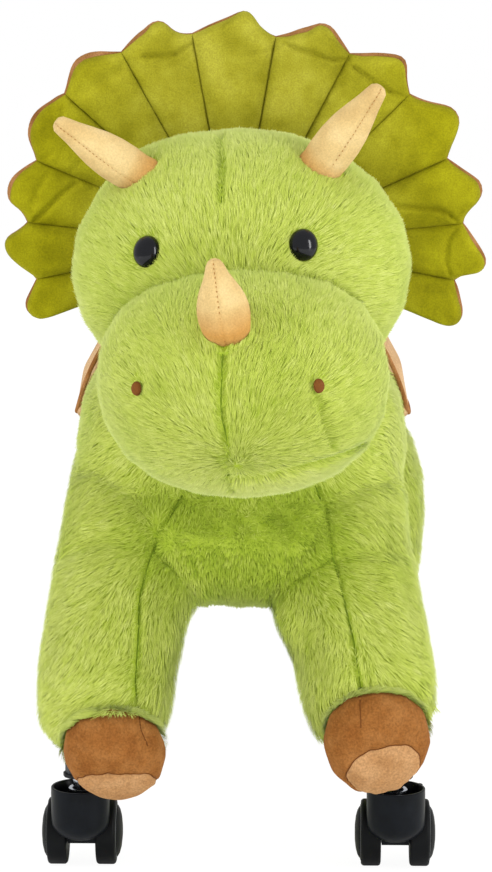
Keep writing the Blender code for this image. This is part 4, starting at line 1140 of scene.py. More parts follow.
# Frill: each lobe's outline from the lowest on the left over the top to the lowest on the
# right, as (u, v, lining): a pixel of the silhouette, and how many pixels of the brown
# lining are seen outside the face there. A lobe ends where the next one starts.
FRILL_MIDDLE = (240.0, 245.0)
LOBES = (
    ((50, 317, 0), (40, 319, 0), (32, 316, 0), (27, 311, 1), (25, 305, 2), (26, 299, 3), (30, 291, 2)),
    ((36, 279, 1), (33, 275, 0), (20, 266, 0), (12, 259, 0), (7, 253, 0), (4.5, 246, 0), (5, 240, 0),
     (9, 235, 1), (16, 231, 1), (23, 226, 1)),
    ((27, 222, 1), (25, 217, 1), (20, 210, 1), (13, 205, 1), (9, 201, 1), (7, 195, 3), (7.5, 187, 4),
     (10, 180, 4), (15, 174, 4), (20, 170, 3), (28, 164.5, 3)),
    ((36, 160, 1), (34, 153, 1), (32, 148, 1), (29, 141, 2), (27.5, 135, 3), (28, 128, 3), (30, 120, 4),
     (35, 112, 4), (42, 106, 3), (50, 101, 3), (57, 96, 3)),
    ((64, 93, 2), (66, 87, 2), (68, 78, 3), (71, 67, 4), (75, 60, 5), (82, 55, 5), (90, 52, 6),
     (100, 51, 5), (110, 51.5, 3)),
    ((121, 51.5, 1), (129, 42, 3), (138, 33, 4), (144, 29, 4), (150, 23, 2), (156, 20.5, 1),
     (161, 20.5, 1), (166, 23, 1), (172, 29, 1), (178, 32.5, 0), (185, 33.5, 1)),
    ((192, 33, 1), (200, 29, 2), (210, 24, 2), (220, 20, 2), (230, 16, 2), (237, 12.5, 1), (244, 10, 0),
     (250, 12, 0), (255, 18, 0), (260, 26, 0), (270, 34, 0)),
    ((276, 36, 1), (290, 32.5, 4), (300, 28.5, 5), (310, 26, 6), (317, 23.5, 3), (322, 22.5, 2),
     (330, 25, 3), (335, 30, 4), (340, 37.5, 4), (345, 45, 3)),
    ((350, 53, 1), (365, 53, 4), (375, 52.5, 4), (385, 53, 4), (395, 54, 4), (402, 56, 4), (406, 60, 4),
     (407.5, 67, 3), (407, 75, 2), (408, 85, 1)),
    ((410, 93.5, 1), (415, 96, 2), (422, 99, 2), (430, 101.5, 2), (437, 103, 2), (445, 104.5, 2),
     (452, 107, 1), (457, 112, 1), (460, 119, 1), (459, 127, 0), (456, 136, 0), (452, 145, 0),
     (449, 153, 0)),
    ((447.5, 158, 1), (455, 163, 3), (462, 168, 3), (471, 174, 3), (478, 179, 3), (481, 182, 3),
     (482.5, 188, 3), (483, 192, 2), (481, 197, 1), (478, 202, 0), (471, 208.5, 0), (467, 213.5, 0),
     (464, 218.5, 0)),
    ((463.5, 223, 1), (466.5, 226.5, 2), (471, 233, 3), (476.5, 241, 4), (481, 248, 4), (485, 255, 3),
     (486.5, 260, 2), (486, 265, 1), (483, 270, 0), (478, 273, 0), (469, 274.5, 0), (461, 276, 0)),
    ((455, 280, 1), (458, 287, 3), (460, 295, 3), (461.5, 302, 3), (463, 309, 2), (462.5, 316, 1),
     (460, 321, 0), (456, 324.5, 0), (450, 326, 0), (444, 325, 0)),
)
LOBES_END = (440, 323.5, 0)
SEAM_FEET = (
    (79, 307),
    (71.5, 263),
    (78, 228),
    (94, 183),
    (120, 147),
    (160.5, 139),
    (201.6, 129),
    (258, 127),
    (314, 133),
    (354, 162),
    (385, 192),
    (404, 228),
    (412, 263),
    (406, 306),
)
# Creases pressed into the lobes: pixels along each, depth and width in millimetres.
CREASES = (
    (((34.4, 221.9), (51.7, 204.7), (64.3, 192.0), (78.0, 183.3)), 4.2, 1.8),
    (((32.0, 208.0), (39.0, 189.7), (50.0, 172.0)), 1.6, 2.6),
    (((63.0, 105.0), (62.6, 117.0)), 1.6, 1.1),
    (((44.0, 158.0), (56.0, 149.5)), 1.3, 1.5),
    (((55.5, 163.0), (66.0, 146.0)), 1.2, 1.5),
    (((71.5, 171.0), (83.5, 157.5)), 1.4, 1.6),
    (((80.0, 94.0), (100.0, 83.0), (123.0, 70.0)), 2.0, 4.0),
    (((95.6, 117.8), (102.5, 106.0)), 1.0, 1.2),
    (((144.0, 56.5), (164.0, 57.4), (177.5, 53.8), (190.5, 44.5)), 3.4, 1.6),
    (((251.0, 54.5), (262.0, 53.0), (274.5, 49.2)), 1.5, 1.7),
    (((283.5, 42.0), (294.8, 48.5), (313.0, 53.6), (332.5, 60.0), (348.0, 59.6)), 4.0, 1.6),
    (((353.5, 67.6), (369.4, 79.4), (380.3, 86.4), (394.4, 94.0), (404.0, 97.2)), 4.2, 1.6),
    (((396.0, 204.7), (416.0, 207.0), (437.0, 208.3), (448.0, 213.0), (456.5, 222.0)), 4.0, 1.7),
    (((455.0, 229.0), (447.9, 239.3), (446.0, 249.0), (445.6, 262.5), (449.0, 273.0)), 2.6, 1.7),
    (((405.0, 150.0), (432.0, 120.0)), 1.0, 5.0),
    (((400.0, 252.0), (430.0, 262.0)), 1.0, 4.0),
)
FRILL_MIDDLE_Y = -0.080
FRILL_FORWARD = 0.008
FRILL_DISH = 0.012
FRILL_EDGE_Y = FRILL_MIDDLE_Y - FRILL_FORWARD + FRILL_DISH
LAYER_SEAT = 0.00015
FACE_PUFF = 0.0088
LINING_PUFF = 0.0054
FRILL_SEAM_RISE = 0.0026
INWARD_REACH = 0.52
# How far from its seams and from its edge a lobe has swelled to its full height.
PILLOW_ROUND = 0.0075
LIP_ROUND = 0.0070


def lobe_outline(corners, lining):
    """A lobe's rounded edge as evenly spaced (x, z), with or without the lining's share."""
    line = []
    for u, v, shown in corners:
        ahead = math.hypot(u - FRILL_MIDDLE[0], v - FRILL_MIDDLE[1])
        share = 1 - (0 if lining else shown) / ahead
        u = FRILL_MIDDLE[0] + (u - FRILL_MIDDLE[0]) * share
        v = FRILL_MIDDLE[1] + (v - FRILL_MIDDLE[1]) * share
        place = on_plane(u, v, FRILL_EDGE_Y)
        line.append((place.x, place.z))
    line = np.array(line)
    gone = np.concatenate(([0.0], np.cumsum(np.linalg.norm(np.diff(line, axis=0), axis=1))))
    even = np.linspace(0, gone[-1], 61)
    edge = np.column_stack([np.interp(even, gone, line[:, k]) for k in (0, 1)])
    for _ in range(5):
        edge[1:-1] = 0.5 * edge[1:-1] + 0.25 * (edge[:-2] + edge[2:])
    return edge


def frill_edges(lining):
    """For each lobe: its outer edge and its inner edge, as lists of (x, z)."""
    middle = on_plane(*FRILL_MIDDLE, FRILL_MIDDLE_Y)
    ends = [lobe[0] for lobe in LOBES[1:]] + [LOBES_END]
    lobes = []
    for index, lobe in enumerate(LOBES):
        outer = lobe_outline((*lobe, ends[index]), lining)
        inner = []
        for u, v in (SEAM_FEET[index], SEAM_FEET[index + 1]):
            place = on_plane(u, v, FRILL_MIDDLE_Y)
            inner.append(
                (
                    middle.x + (place.x - middle.x) * INWARD_REACH,
                    middle.z + (place.z - middle.z) * INWARD_REACH,
                )
            )
        lobes.append((outer, np.array(inner)))
    return lobes


def crease_field(x, z):
    """How far the creases press the front layer in, in metres."""
    flat = np.column_stack((x, z))
    depth = np.zeros(len(flat))
    for pixels, deep, wide in CREASES:
        line = []
        for u, v in pixels:
            place = on_plane(u, v, FRILL_MIDDLE_Y)
            line.append((place.x, place.z))
        far = line_distance(flat, line) * 1000
        depth += deep * bell(far, wide)
        depth -= 0.22 * deep * bell(far, 3.2 * wide)
    return depth / 1000


def rounded(share):
    """Height of a quarter circle, from 0 at its foot to 1."""
    return np.sqrt(1 - (1 - np.clip(share, 0, 1)) ** 2)


def frill_layer(name, node, sign, puff, columns, rows, material, slot):
    """One padded layer: puffed lobes between sharp seams, flat towards the other layer."""
    points = []
    faces = []
    seams = []
    lobes = frill_edges(sign > 0)
    for lobe, (outer, inner) in enumerate(lobes):
        first = len(points)
        across = 0.5 - 0.5 * np.cos(np.pi * np.linspace(0, 1, columns + 1))
        out = 1 - (1 - np.linspace(0, 1, rows + 1)) ** 1.5
        edge = np.column_stack(
            [np.interp(across, np.linspace(0, 1, len(outer)), outer[:, k]) for k in (0, 1)]
        )
        foot = inner[0] + (inner[1] - inner[0]) * across[:, None]
        grid = foot[None] + (edge - foot)[None] * out[:, None, None]
        x = grid[..., 0].ravel()
        z = grid[..., 1].ravel()
        width = columns + 1
        aside = np.tile(across, rows + 1)
        outward = np.repeat(out, width)
        wide = np.repeat(np.linalg.norm(grid[:, -1] - grid[:, 0], axis=1), width)
        long = np.tile(np.linalg.norm(edge - foot, axis=1), rows + 1)
        to_seam = np.minimum(aside, 1 - aside) * wide
        to_edge = (1 - outward) * long
        pillow = rounded(to_seam / PILLOW_ROUND)
        crown = 0.72 + 0.28 * (1 - (2 * aside - 1) ** 2)
        lip = rounded(to_edge / LIP_ROUND)
        spot = np.column_stack((x, np.full(len(x), 0.013 * lobe), z))
        lumps = 0.0007 * wander(spot, 0.014, 40 + lobe)[:, 0] + 0.0011 * wander(spot, 0.035, 60)[:, 1]
        pucker = 0.0010 * wander(spot, 0.0030, 80 + lobe)[:, 2] * np.exp(-to_seam / 0.0040)
        body = puff * (0.88 + 0.20 * math.sin(lobe * 2.1)) * crown + lumps
        if sign < 0:
            body = body - crease_field(x, z)
        fall = FRILL_SEAM_RISE * (0.45 + 0.55 * lip)
        depth = lip * fall + pillow * lip * (np.maximum(body, 0.002) + pucker)
        dish = FRILL_MIDDLE_Y - FRILL_FORWARD + FRILL_DISH * (0.35 + 0.65 * outward)
        y = dish + sign * (LAYER_SEAT + depth)
        points += np.column_stack((x, y, z)).tolist()
        for row in range(rows):
            for column in range(columns):
                corner = first + row * width + column
                faces.append((corner, corner + 1, corner + width + 1, corner + width))
        back = len(points)
        border = list(range(width))
        border += [row * width + columns for row in range(1, rows + 1)]
        border += [rows * width + column for column in range(columns - 1, -1, -1)]
        border += [row * width for row in range(rows - 1, 0, -1)]
        flat_y = dish + sign * LAYER_SEAT
        points += [(x[k], flat_y[k], z[k]) for k in border]
        for step in range(len(border)):
            beside = (step + 1) % len(border)
            faces.append((first + border[step], first + border[beside], back + beside, back + step))
        faces.append(tuple(back + step for step in range(len(border))))
        if lobe:
            rows_seen = range(int(rows * 0.2), rows - 1, 2)
            seams.append([points[first + row * width] for row in rows_seen])
    mesh = cleaned(mesh_from(name, points, faces), weld=0.00001)
    mesh.shade_smooth()
    layer = new_object(name, mesh, material)
    finish_piece(layer, BODY, slot, node)
    return seams


def make_frill():
    seams = frill_layer("frill_face", "frill_front", -1, FACE_PUFF, 44, 56, olive, "olive_velour")
    frill_layer("frill_lining", "frill_back", 1, LINING_PUFF, 24, 28, brown_back, "saddle_velour")
    for index, line in enumerate(seams):
        raised = [(x, y + 0.0002, z) for x, y, z in line]
        # Each frill seam gets a dark olive thread: partly seam thread, partly painted shade of its
        # groove.
        thread = tube(f"frill_seam_{index + 1}", raised, 0.00055, 8, olive_seam_shade_thread)
        finish_piece(thread, BODY, "olive_velour")


# Hooves

SOLE_LINES = {
    "hoof_front_left": ((78, 781), (88, 775), (100, 773), (119, 778), (135, 775), (157, 776)),
    "hoof_front_right": ((345, 776), (351, 764), (367, 753), (389, 746), (411, 746), (422, 758)),
}
REAR_SOLE_FACING = (0.0, -0.42, -0.91)
REAR_SOLE_SHARE = 0.30
# How far each hoof's toe hangs below its CAD form and leans to the right, in metres, and the
# share of its width that it loses.
TOE_DROPS = {"hoof_front_left": (0.0006, 0.0058, 0.17), "hoof_front_right": (0.0060, -0.0006, 0.10)}
REAR_TOE_DROP = (0.002, 0.0, 0.10)
HOOF_FULLNESS = 0.0018
# How far the leg's pile reaches over a hoof, in metres.
HEM_REACH = 0.0060
HEM_REACHES = {"hoof_front_left": 0.0090}
SIDE_SEAMS = {
    "hoof_front_left": ((139, 715), (141, 730), (148, 746)),
    "hoof_front_right": ((360, 700), (361, 728)),
}


def hoof_form(node):
    """A hoof's solid finely meshed, a little fuller, with its toe drawn down, and its height."""
    hoof = softened(node + "_cover", node, 0.0018, 26)
    points = place_of(hoof.data)
    normals = normals_of(hoof.data)
    low, high = points.min(axis=0), points.max(axis=0)
    down = (high[2] - points[:, 2]) / (high[2] - low[2])
    drop, lean, taper = TOE_DROPS.get(node, REAR_TOE_DROP)
    points += normals * HOOF_FULLNESS
    points[:, 2] -= drop * down**1.5
    points[:, 0] += (lean - taper * (points[:, 0] - (low[0] + high[0]) / 2)) * down
    points += normals * (0.0006 * wander(points, 0.022, 7)[:, 0])[:, None]
    set_places(hoof.data, points)
    return hoof, float(high[2] - low[2])


def sole_plane(node, hoof, form, height):
    """The plane of the sole's seam: its way down, and how far along that it lies."""
    if node not in SOLE_LINES:
        facing_down = unit(np.array(REAR_SOLE_FACING))
        lowest = float((place_of(hoof.data) @ facing_down).max())
        return facing_down, lowest - REAR_SOLE_SHARE * height
    line = np.array(traced(form, SOLE_LINES[node]))
    across = np.linalg.svd(line - line.mean(axis=0))[2][2]
    facing_down = across if across[2] < 0 else -across
    return facing_down, float((line @ facing_down).mean())


def make_hoof(node):
    """Stuffed hoof in two cloths: a brushed top and a lighter sole, sewn together."""
    hoof, height = hoof_form(node)
    form = tree_of(hoof.data)
    facing_down, level = sole_plane(node, hoof, form, height)
    work = bmesh.new()
    work.from_mesh(hoof.data)
    parts = work.verts[:] + work.edges[:] + work.faces[:]
    bmesh.ops.bisect_plane(work, geom=parts, plane_co=facing_down * level, plane_no=facing_down)
    work.to_mesh(hoof.data)
    work.free()
    points = place_of(hoof.data)
    normals = normals_of(hoof.data)
    past = points @ facing_down - level
    rim = np.flatnonzero(np.abs(past) < 0.000002)
    side = unit(np.cross(facing_down, (0.0, 1.0, 0.0)))
    front = np.cross(facing_down, side)
    spokes = points - points[rim].mean(axis=0)
    angle = np.arctan2(spokes @ side, spokes @ front)
    groove = 0.0013 * bell(past, 0.0010)
    pucker = 0.0006 * wander(points, 0.0030, 9)[:, 0] * bell(past, 0.0040)
    if node in SIDE_SEAMS:
        far, _ = nearest_place(points, traced(form, SIDE_SEAMS[node]))
        groove += 0.0012 * bell(far, 0.0009)
    waves = 0.0005 * np.sin(5 * angle) + 0.0004 * np.sin(11 * angle)
    waves *= bell(past, 0.006)
    points += facing_down * waves[:, None] - normals * (groove - pucker)[:, None]
    set_places(hoof.data, points)
    hoof.data.materials.append(hoof_top)
    hoof.data.materials.append(hoof_sole)
    for polygon in hoof.data.polygons:
        polygon.material_index = int(past[list(polygon.vertices)].mean() > 0)
    ring = rim[np.argsort(angle[rim])]
    line = (points[ring] + normals[ring] * 0.0001).tolist()
    # The hoof's seams get a dark brown thread: partly seam thread, partly painted shade of their
    # grooves.
    thread = tube(node + "_seam", line, 0.00045, 8, hoof_thread, closed=True)
    finish_piece(thread, BODY, "brown_velour")
    if node in SIDE_SEAMS:
        line = [place.to_tuple() for place in traced(tree_of(hoof.data), SIDE_SEAMS[node], 1.5)]
        thread = tube(node + "_side_seam", line, 0.0004, 8, hoof_thread)
        finish_piece(thread, BODY, "brown_velour")
    finish_piece(hoof, BODY, "brown_velour", node)
    stand_clear(hoof, -0.5, 0.0200)
    return hem_skin(node, hoof)


def hem_skin(node, hoof):
    """A hoof as a skin to plant, open where the leg's pile reaches over it."""
    normals = normals_of(hoof.data)
    points = place_of(hoof.data) + normals * 0.0012
    leg = trees[node.replace("hoof_", "").replace("front", "front_leg").replace("rear", "rear_leg")]
    reach = HEM_REACHES.get(node, HEM_REACH)
    band = np.zeros(len(points))
    for index, point in enumerate(points):
        place, out, _, far = leg.find_nearest(point)
        band[index] = far < reach and (Vector(point) - place).dot(out) > 0
    return {"points": points, "normals": normals, "triangles": triangles_of(hoof.data), "sky": band}


# Saddle


SADDLE_MIDDLE = 0.314
SADDLE_RADIUS = 0.125
SADDLE_CORNER = 0.022
QUILT_ROWS = (0.045, 0.078, 0.111)
QUILT_TURN = 1.05
QUILT_WIDTH = 0.0022
BAND_WIDTH = 0.016
PIPING_RADIUS = 0.0020
PIPING_INSET = 0.0018
PIPING_LIFT = 0.0014


def saddle_edge(form, low, high):
    """A closed line just inside the saddle's border, over both of its ends."""
    turn = 0.17
    foot = 0.012
    places = []
    for end, other in ((low, high), (high, low)):
        inward = 1 if other > end else -1
        for step in range(61):
            places.append((turn + (math.pi - 2 * turn) * step / 60, end))
        for step in range(1, 9):
            angle = math.pi / 2 * step / 8
            shift = SADDLE_CORNER * (1 - math.cos(angle)) * inward
            places.append((math.pi - turn + (turn - foot) * math.sin(angle), end + shift))
        for step in range(1, 12):
            shift = SADDLE_CORNER + (abs(high - low) - 2 * SADDLE_CORNER) * step / 12
            places.append((math.pi - foot, end + shift * inward))
        for step in range(9):
            angle = math.pi / 2 * (1 - step / 8)
            shift = SADDLE_CORNER * (1 - math.cos(angle)) * inward
            places.append((math.pi - turn + (turn - foot) * math.sin(angle), other - shift))
        places = [(math.pi - turned_to, y) for turned_to, y in places]
    line = []
    for angle, y in places:
        out = Vector((math.cos(angle), 0.0, math.sin(angle)))
        for step in range(6):
            middle = Vector((0.0, y + ((low + high) / 2 - y) * 0.03 * step, SADDLE_MIDDLE))
            hit = form.ray_cast(middle + out * 0.25, -out, 0.25)[0]
            if hit is not None:
                line.append(hit + out * PIPING_LIFT)
                break
    line = np.array(line)
    for _ in range(12):
        line = 0.5 * line + 0.25 * (np.roll(line, 1, axis=0) + np.roll(line, -1, axis=0))
    return line.tolist()


def make_saddle():
    """Quilted saddle of tan cloth with rounded corners, a band at the rear and piping all round."""
    saddle = softened("saddle_cover", "saddle_pad", 0.0024, 24)
    points = place_of(saddle.data)
    low, high = points.min(axis=0), points.max(axis=0)
    for end, inward in ((low[1], 1), (high[1], -1)):
        up = SADDLE_CORNER - (points[:, 2] - low[2])
        along = SADDLE_CORNER - (points[:, 1] - end) * inward
        corner = (up > 0) & (along > 0)
        round_off = np.maximum(up, along)[corner] / np.hypot(up, along)[corner]
        points[corner, 2] += up[corner] * (1 - round_off)
        points[corner, 1] += along[corner] * (1 - round_off) * inward
    set_places(saddle.data, points)
    normals = normals_of(saddle.data)
    across = np.arctan2(points[:, 0], points[:, 2] - SADDLE_MIDDLE)
    outward = np.einsum("nk,nk->n", normals[:, [0, 2]], unit(points[:, [0, 2]] - [0.0, SADDLE_MIDDLE]))
    outer = outward > 0.2
    dent = np.zeros(len(points))
    for y in QUILT_ROWS:
        dent += 0.0022 * bell(points[:, 1] - y, QUILT_WIDTH)
    inside = eased((points[:, 1] - low[1]) / 0.03)
    for edge in (-QUILT_TURN, QUILT_TURN):
        dent += 0.0018 * inside * bell((across - edge) * SADDLE_RADIUS, QUILT_WIDTH)
    lumps = 0.0006 * wander(points, 0.020, 21)[:, 0]
    set_places(saddle.data, points - normals * ((dent - lumps) * outer)[:, None])
    saddle.data.materials.append(tan)
    saddle.data.materials.append(band)
    for polygon in saddle.data.polygons:
        wrapped = outer[polygon.vertices[0]] or polygon.normal.y > 0.5
        polygon.material_index = int(wrapped and polygon.center.y > high[1] - BAND_WIDTH)
    finish_piece(saddle, BODY, "saddle_velour", "saddle_pad")
    ends = (float(low[1]) + PIPING_INSET, float(high[1]) - PIPING_INSET)
    line = saddle_edge(tree_of(saddle.data), *ends)
    piping = tube("saddle_piping", line, PIPING_RADIUS, 16, band, closed=True)
    finish_piece(piping, BODY, "saddle_velour")


# Casters

WHEEL_RADIUS = 0.025
TYRE_WIDTH = 0.015
WHEEL_GAP = 0.021
WHEEL_ROOM = 0.0265
TRAIL = 0.020
CUP_TOP = 0.0650
CUP_RADIUS = 0.0216
CUP_WAIST = 0.0390
CUP_DOME = 0.0150
WEB_HALF = 0.0102
BOSS_HALF = 0.0123


def box_mesh(name, low, high):
    xs, ys, zs = zip(low, high)
    points = [(x, y, z) for x in xs for y in ys for z in zs]
    faces = [(0, 1, 3, 2), (4, 6, 7, 5), (0, 4, 5, 1), (2, 3, 7, 6), (0, 2, 6, 4), (1, 5, 7, 3)]
    return mesh_from(name, points, faces, False)


def arc(middle, radius, start, end, steps):
    """Part of a circle in a profile, as (radius, height) points."""
    points = []
    for step in range(steps + 1):
        angle = math.radians(start + (end - start) * step / steps)
        points.append((middle[0] + radius * math.cos(angle), middle[1] + radius * math.sin(angle)))
    return points


def make_wheel(corner, word):
    """Twin-wheel disc: rounded tyre, a pale ring and a domed cap."""
    side = -1 if word == "left" else 1
    x, y = CORNERS[corner]
    edge = 0.0024
    profile = [(0.0, TYRE_WIDTH + 0.0046), (0.0060, TYRE_WIDTH + 0.0045)]
    profile += [(0.0120, TYRE_WIDTH + 0.0038), (0.0165, TYRE_WIDTH + 0.0026)]
    profile += [(0.0190, TYRE_WIDTH + 0.0012), (0.0193, TYRE_WIDTH + 0.0004)]
    cap_faces = len(profile) - 1
    profile += [(0.0199, TYRE_WIDTH + 0.0006), (0.0207, TYRE_WIDTH + 0.0004)]
    ring_faces = len(profile) - 1
    profile += [(0.0210, TYRE_WIDTH - 0.0004), (0.0214, TYRE_WIDTH)]
    profile += arc((WHEEL_RADIUS - edge, TYRE_WIDTH - edge), edge, 78, 0, 5)
    profile += arc((WHEEL_RADIUS - edge, 0.0003 + edge), edge, 0, -90, 5)
    profile += [(0.0090, 0.0003), (0.0086, 0.0010), (0.0033, 0.0010), (0.0033, 0.0128), (0.0, 0.0128)]
    seat = sideways((x + side * WHEEL_GAP / 2, y + TRAIL, WHEEL_RADIUS), side)
    node = f"caster_{corner}_{word}_wheel"
    wheel = turned(node + "_disc", profile, 64, seat, tyre_plastic, ring_plastic)
    for polygon in wheel.data.polygons:
        if cap_faces <= polygon.index // 64 < ring_faces:
            polygon.material_index = 1
    finish_piece(wheel, f"{corner}_{word}_wheel", "tyre_black", node)


def make_hood(corner):
    """Moulded cup and web over the twin wheels, cut with the wheels' own rooms."""
    profile = [(0.0, 0.0584), (0.0043, 0.0584), (0.0078, 0.0582), (0.0082, 0.0578), (0.0084, 0.0538)]
    profile += [(0.0188, 0.0540), (0.0194, 0.0546), (0.0196, CUP_TOP - 0.0006), (0.0200, CUP_TOP)]
    profile += [(0.0212, CUP_TOP), (0.0216, CUP_TOP - 0.0005), (0.0217, 0.0600)]
    profile.append((CUP_RADIUS, CUP_WAIST))
    for turn in np.linspace(0.12, 1.45, 12):
        profile.append((CUP_RADIUS * math.cos(turn), CUP_WAIST - CUP_DOME * math.sin(turn)))
    profile.append((0.0, CUP_WAIST - CUP_DOME))
    node = f"caster_{corner}_hood"
    hood = turned(node + "_shell", profile, 72, Matrix.Identity(4), hood_plastic)
    axle = sideways((0, TRAIL, WHEEL_RADIUS), 1)
    boss_profile = [(0.0, BOSS_HALF), (0.0082, BOSS_HALF), (0.0082, -BOSS_HALF), (0.0, -BOSS_HALF)]
    web = box_mesh("web", (-WEB_HALF, 0.0062, 0.0190), (WEB_HALF, 0.0218, 0.0490))
    tab = box_mesh("tab", (0.0185, -0.0017, 0.0570), (0.0242, 0.0017, 0.0642))
    tab.transform(Matrix.Rotation(math.radians(38), 4, "Z"))
    extras = [(turned("boss", boss_profile, 40, axle), "UNION")]
    extras += [(new_object("web", web), "UNION"), (new_object("tab", tab), "UNION")]
    for side in (-1, 1):
        seat = sideways((side * WEB_HALF, TRAIL, WHEEL_RADIUS), side)
        room_profile = [(0.0, 0.05), (WHEEL_ROOM, 0.05), (WHEEL_ROOM, 0.0), (0.0, 0.0)]
        room = turned("room", room_profile, 64, seat)
        extras.append((room, "DIFFERENCE"))
    for extra, operation in extras:
        joint = hood.modifiers.new(extra.name, "BOOLEAN")
        joint.operation = operation
        joint.solver = "EXACT"
        joint.object = extra
    bevel = hood.modifiers.new("Moulded edges", "BEVEL")
    bevel.width = 0.0004
    bevel.segments = 2
    bevel.limit_method = "ANGLE"
    bevel.angle_limit = math.radians(42)
    bevel.harden_normals = False
    finished(hood)
    for extra, _ in extras:
        bpy.data.objects.remove(extra, do_unlink=True)
    hood.data.transform(Matrix.Translation((*CORNERS[corner], 0.0)))
    hood.data.shade_smooth()
    hood.data.set_sharp_from_angle(angle=math.radians(35))
    finish_piece(hood, f"{corner}_swivel", "hood_black", node)


def make_stem(corner):
    """Plated stem with a rolled collar under the leg."""
    profile = [(0.0, 0.1100), (0.0043, 0.1100), (0.0055, 0.1088), (0.0055, 0.0660)]
    profile += [(0.0074, 0.0652), (0.0086, 0.0640), (0.0088, 0.0626), (0.0088, 0.0600)]
    profile += [(0.0082, 0.0588), (0.0040, 0.0587), (0.0040, 0.0320), (0.0, 0.0320)]
    seat = Matrix.Translation((*CORNERS[corner], 0.0))
    stem = turned(f"stem_{corner}_plated", profile, 48, seat, chrome)
    finish_piece(stem, BODY, "chrome", f"stem_{corner}")


# Handlebar

GRIP_RIBS = 9
RIB_PITCH = 0.0044


def make_grip(word):
    """Ribbed grip with a thumb collar, on the CAD grip's place."""
    side = -1 if word == "left" else 1
    node = "handle_grip_" + word
    low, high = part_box(node)
    inner = low.x if side > 0 else high.x
    outer = high.x if side > 0 else low.x
    length = abs(outer - inner)
    profile = [(0.0, length), (0.0085, length - 0.0002), (0.0112, length - 0.0014)]
    profile += [(0.0131, length - 0.0040)]
    for rib in range(GRIP_RIBS):
        top = length - 0.0070 - rib * RIB_PITCH
        profile += [(0.0132, top), (0.0134, top - 0.0008)]
        profile += [(0.0134, top - 0.0022), (0.0124, top - 0.0029)]
    profile += [(0.0132, 0.0056), (0.0150, 0.0044), (0.0164, 0.0026), (0.0163, 0.0008), (0.0150, 0.0)]
    profile += [(0.0088, 0.0)]
    seat = sideways((inner, (low.y + high.y) / 2, (low.z + high.z) / 2), side)
    grip = turned(node + "_sleeve", profile, 56, seat, grip_rubber, sharp=50)
    finish_piece(grip, BODY, "grip_rubber", node)


def make_handlebar():
    low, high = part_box("handlebar")
    middle = ((low.y + high.y) / 2, (low.z + high.z) / 2)
    steps = np.linspace(low.x, high.x, 24)
    bar = tube("handlebar_tube", [(x, *middle) for x in steps], 0.0080, 32, tube_paint)
    finish_piece(bar, BODY, "painted_tube", "handlebar")


KEPT_LOOKS = {
    "front_leg_frame": tube_paint,
    "rear_leg_frame": tube_paint,
    "spine_tube": tube_paint,
    "neck_post": tube_paint,
    "seat_board": ply,
    "seat_bolt_front": zinc,
    "seat_bolt_rear": zinc,
    "eye_washer_left": black_plastic,
    "eye_washer_right": black_plastic,
}


def dress_kept_nodes():
    """Better finishes for the CAD nodes whose shape is already right."""
    for corner in CORNERS:
        KEPT_LOOKS["socket_" + corner] = black_plastic
        KEPT_LOOKS["caster_" + corner + "_axle"] = zinc
    for node, material in KEPT_LOOKS.items():
        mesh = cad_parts[node].data
        mesh.materials.clear()
        mesh.materials.append(material)


# Stage


# Place, aim, size and power of each lamp. Only the right softbox shows in glossy surfaces.
LAMPS = {
    "softbox_left": ((-1.9, -1.25, 1.05), (0.0, -0.1, 0.36), (0.9, 1.5), 22.0),
    "softbox_right": ((1.8, -1.45, 0.95), (0.0, -0.1, 0.36), (0.4, 1.5), 24.0),
    "top_bank": ((0.0, -0.6, 2.1), (0.0, -0.1, 0.3), (1.8, 1.4), 8.0),
    "low_fill": ((0.0, -2.3, 0.30), (0.0, -0.1, 0.22), (2.2, 0.6), 11.0),
    "side_fill": ((2.2, 0.5, 0.7), (0.0, 0.1, 0.3), (0.8, 1.2), 7.0),
}
FLOOR_HALF = 4.0


def area_lamp(name, place, aim, size, power):
    lamp = bpy.data.lights.new(name, "AREA")
    lamp.shape = "RECTANGLE"
    lamp.size, lamp.size_y = size
    lamp.energy = power
    thing = link(bpy.data.objects.new(name, lamp))
    thing.visible_glossy = name == "softbox_right"
    thing.location = place
    thing.rotation_euler = (Vector(aim) - Vector(place)).to_track_quat("-Z", "Y").to_euler()


